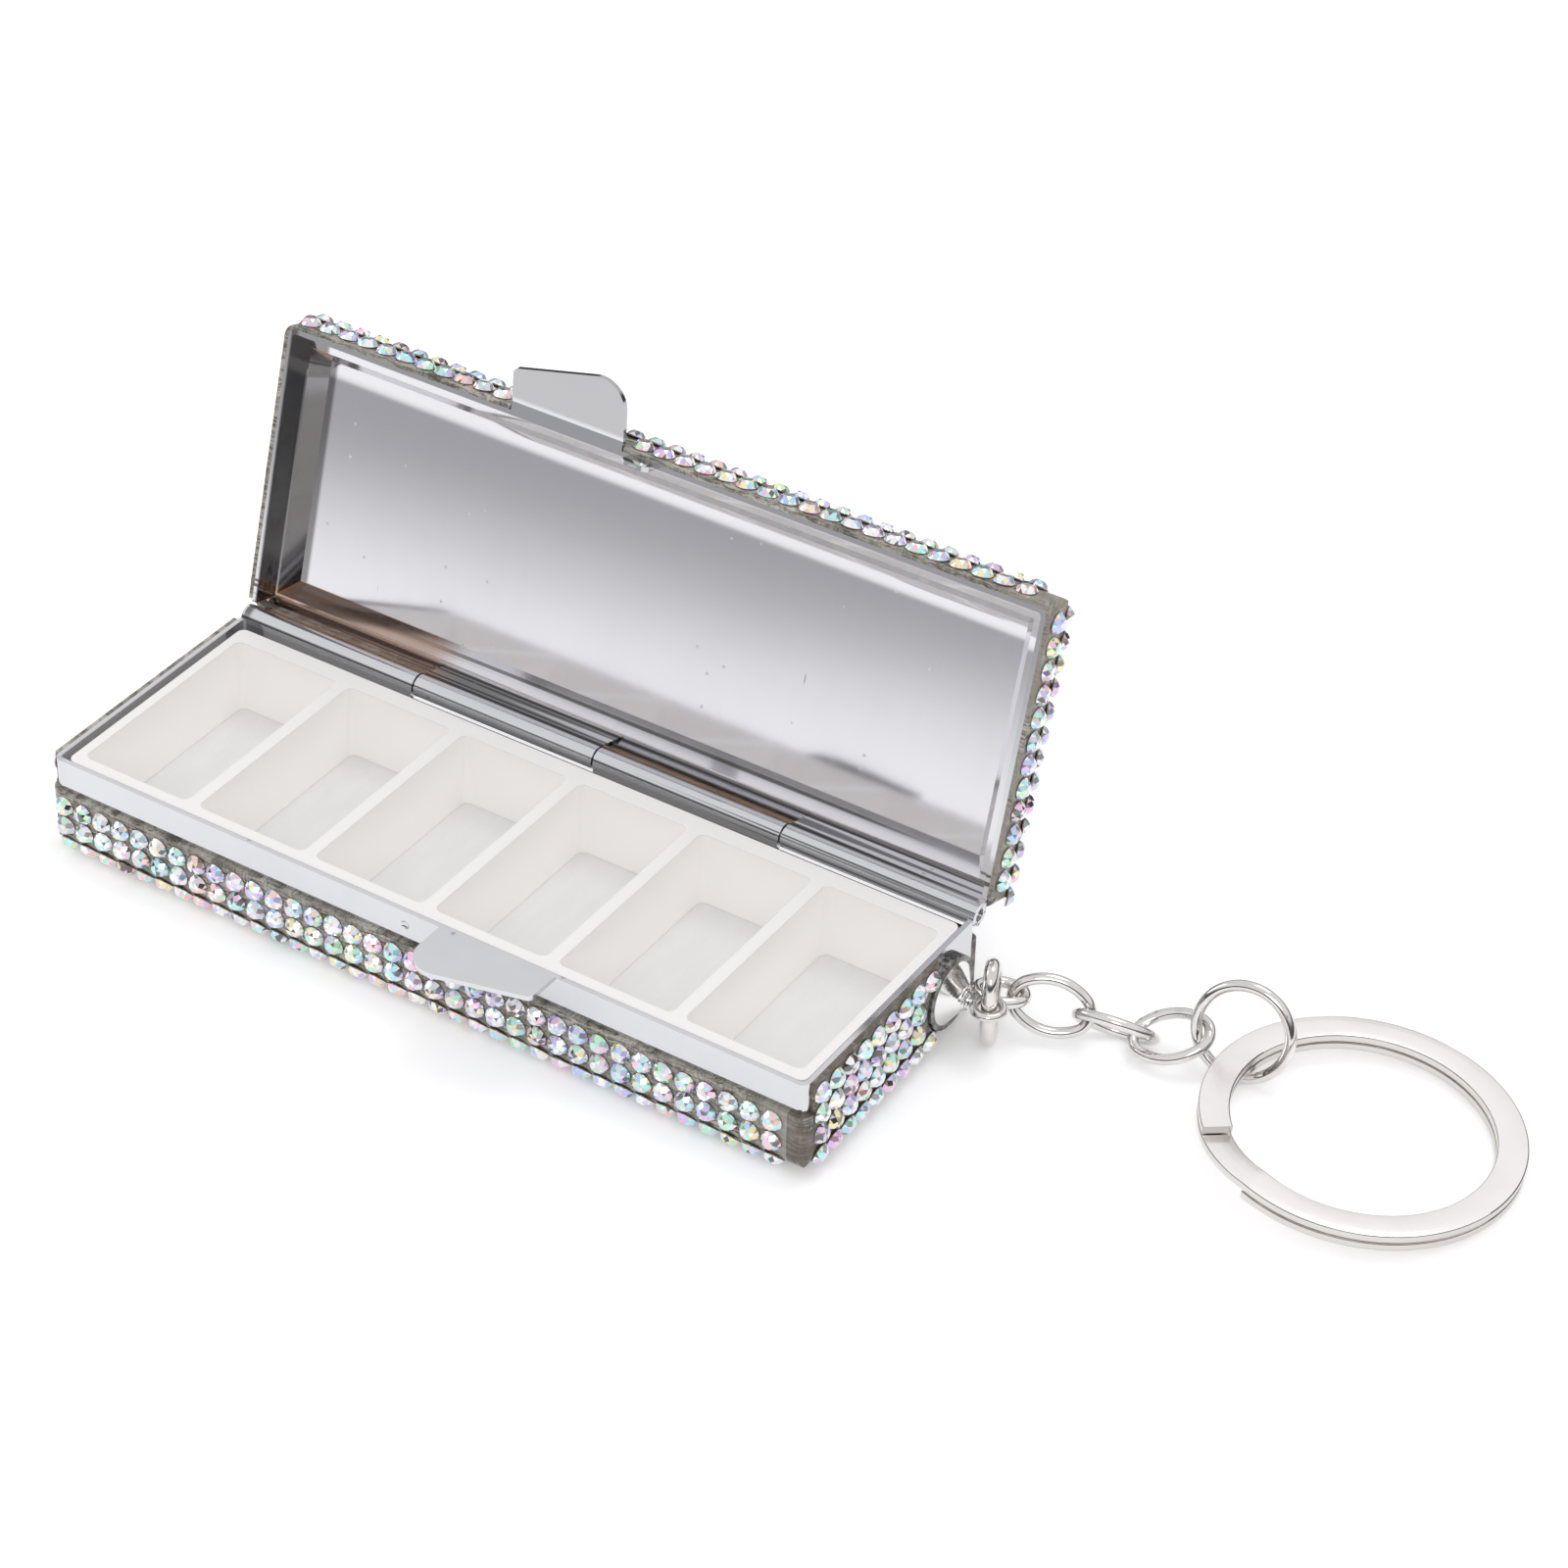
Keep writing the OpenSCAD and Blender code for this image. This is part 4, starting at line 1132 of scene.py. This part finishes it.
@dataclass(frozen=True)
class SoftBox:
    """One soft lamp."""

    name: str
    at: Point
    aim: Point
    size: tuple[float, float]
    watts: float

    def build(self) -> None:
        """Makes the lamp."""
        data = bpy.data.lights.new(self.name, "AREA")
        data.shape = "RECTANGLE"
        data.size, data.size_y = self.size
        data.energy = self.watts
        lamp = bpy.data.objects.new(self.name, data)
        lamp.location = self.at
        lamp.rotation_euler = (Vector(self.aim) - Vector(self.at)).to_track_quat("-Z", "Y").to_euler()
        bpy.context.scene.collection.objects.link(lamp)


@dataclass
class Studio:
    """Pale table, soft light and the camera at the photograph's view."""

    camera_at: Point = (194.92, -262.00, 261.82)
    camera_right: Point = (0.8387, 0.5442, 0.0199)
    camera_up: Point = (-0.3401, 0.4949, 0.7997)
    camera_back: Point = (0.4253, -0.6774, 0.6001)
    focal_px: float = 4510.4
    photo_px: float = 1600.0
    sensor_mm: float = 36.0
    table_half: float = 1.5
    sky: Colour = (0.99, 0.985, 1.0)
    sky_strength: float = 1.0
    sky_stops: tuple[tuple[float, float], ...] = ((0.0, 0.06), (0.22, 0.14), (0.42, 0.98), (1.0, 0.92))
    lamps: tuple[SoftBox, ...] = (
        SoftBox("overhead", (0.10, 0.25, 0.70), (0.02, 0.0, 0.0), (0.30, 0.30), 0.75),
        SoftBox("front_fill", (0.35, -0.60, 0.50), (0.0, 0.0, 0.02), (0.25, 0.25), 0.7),
        SoftBox("left_stripe", (-0.60, -0.20, 0.35), (0.0, 0.0, 0.02), (0.2, 0.4), 0.5),
    )

    def build(self) -> None:
        """Makes the studio."""
        bm = bmesh.new()
        bmesh.ops.create_grid(bm, x_segments=1, y_segments=1, size=self.table_half)
        mesh = bpy.data.meshes.new("table")
        bm.to_mesh(mesh)
        bm.free()
        mesh.materials.append(PaleFloor().build())
        table = bpy.data.objects.new("table", mesh)
        bpy.context.scene.collection.objects.link(table)
        for lamp in self.lamps:
            lamp.build()
        self.world()
        self.camera()
        bpy.context.scene.view_settings.view_transform = "Standard"

    def world(self) -> None:
        """Soft surroundings, paler above than at the horizon."""
        world = bpy.data.worlds.new("studio")
        world.use_nodes = True
        tree = Nodes(world.node_tree)
        ray = tree.node("ShaderNodeTexCoord", out="Generated")
        up = tree.node("ShaderNodeSeparateXYZ", inputs={0: ray}, out="Z")
        stops = [(at, darker(self.sky, level)) for at, level in self.sky_stops]
        sky = tree.node("ShaderNodeValToRGB", {"stops": stops}, {0: up})
        light = tree.node("ShaderNodeBackground", inputs={"Color": sky, "Strength": self.sky_strength})
        tree.end("ShaderNodeOutputWorld", light)
        bpy.context.scene.world = world

    def camera(self) -> None:
        """Camera fitted to the photograph."""
        data = bpy.data.cameras.new("photo_view")
        data.sensor_width = self.sensor_mm
        data.lens = self.focal_px / self.photo_px * self.sensor_mm
        data.clip_start, data.clip_end = 0.01, 10.0
        camera = bpy.data.objects.new("photo_view", data)
        turn = Matrix((self.camera_right, self.camera_up, self.camera_back)).transposed().to_4x4()
        camera.matrix_world = Matrix.Translation(Vector(self.camera_at) * MM) @ turn
        bpy.context.scene.collection.objects.link(camera)
        bpy.context.scene.camera = camera


def main() -> None:
    """Builds the scene and notes the sizes."""
    logging.basicConfig(level=logging.INFO)
    Studio().build()
    SheetParts().build()
    MeshSkins().build()
    CrystalCladding().build()
    chain = ChainWork()
    chain.build()
    SplitRing().build(chain.middles()[4])


if __name__ == "__main__":
    main()
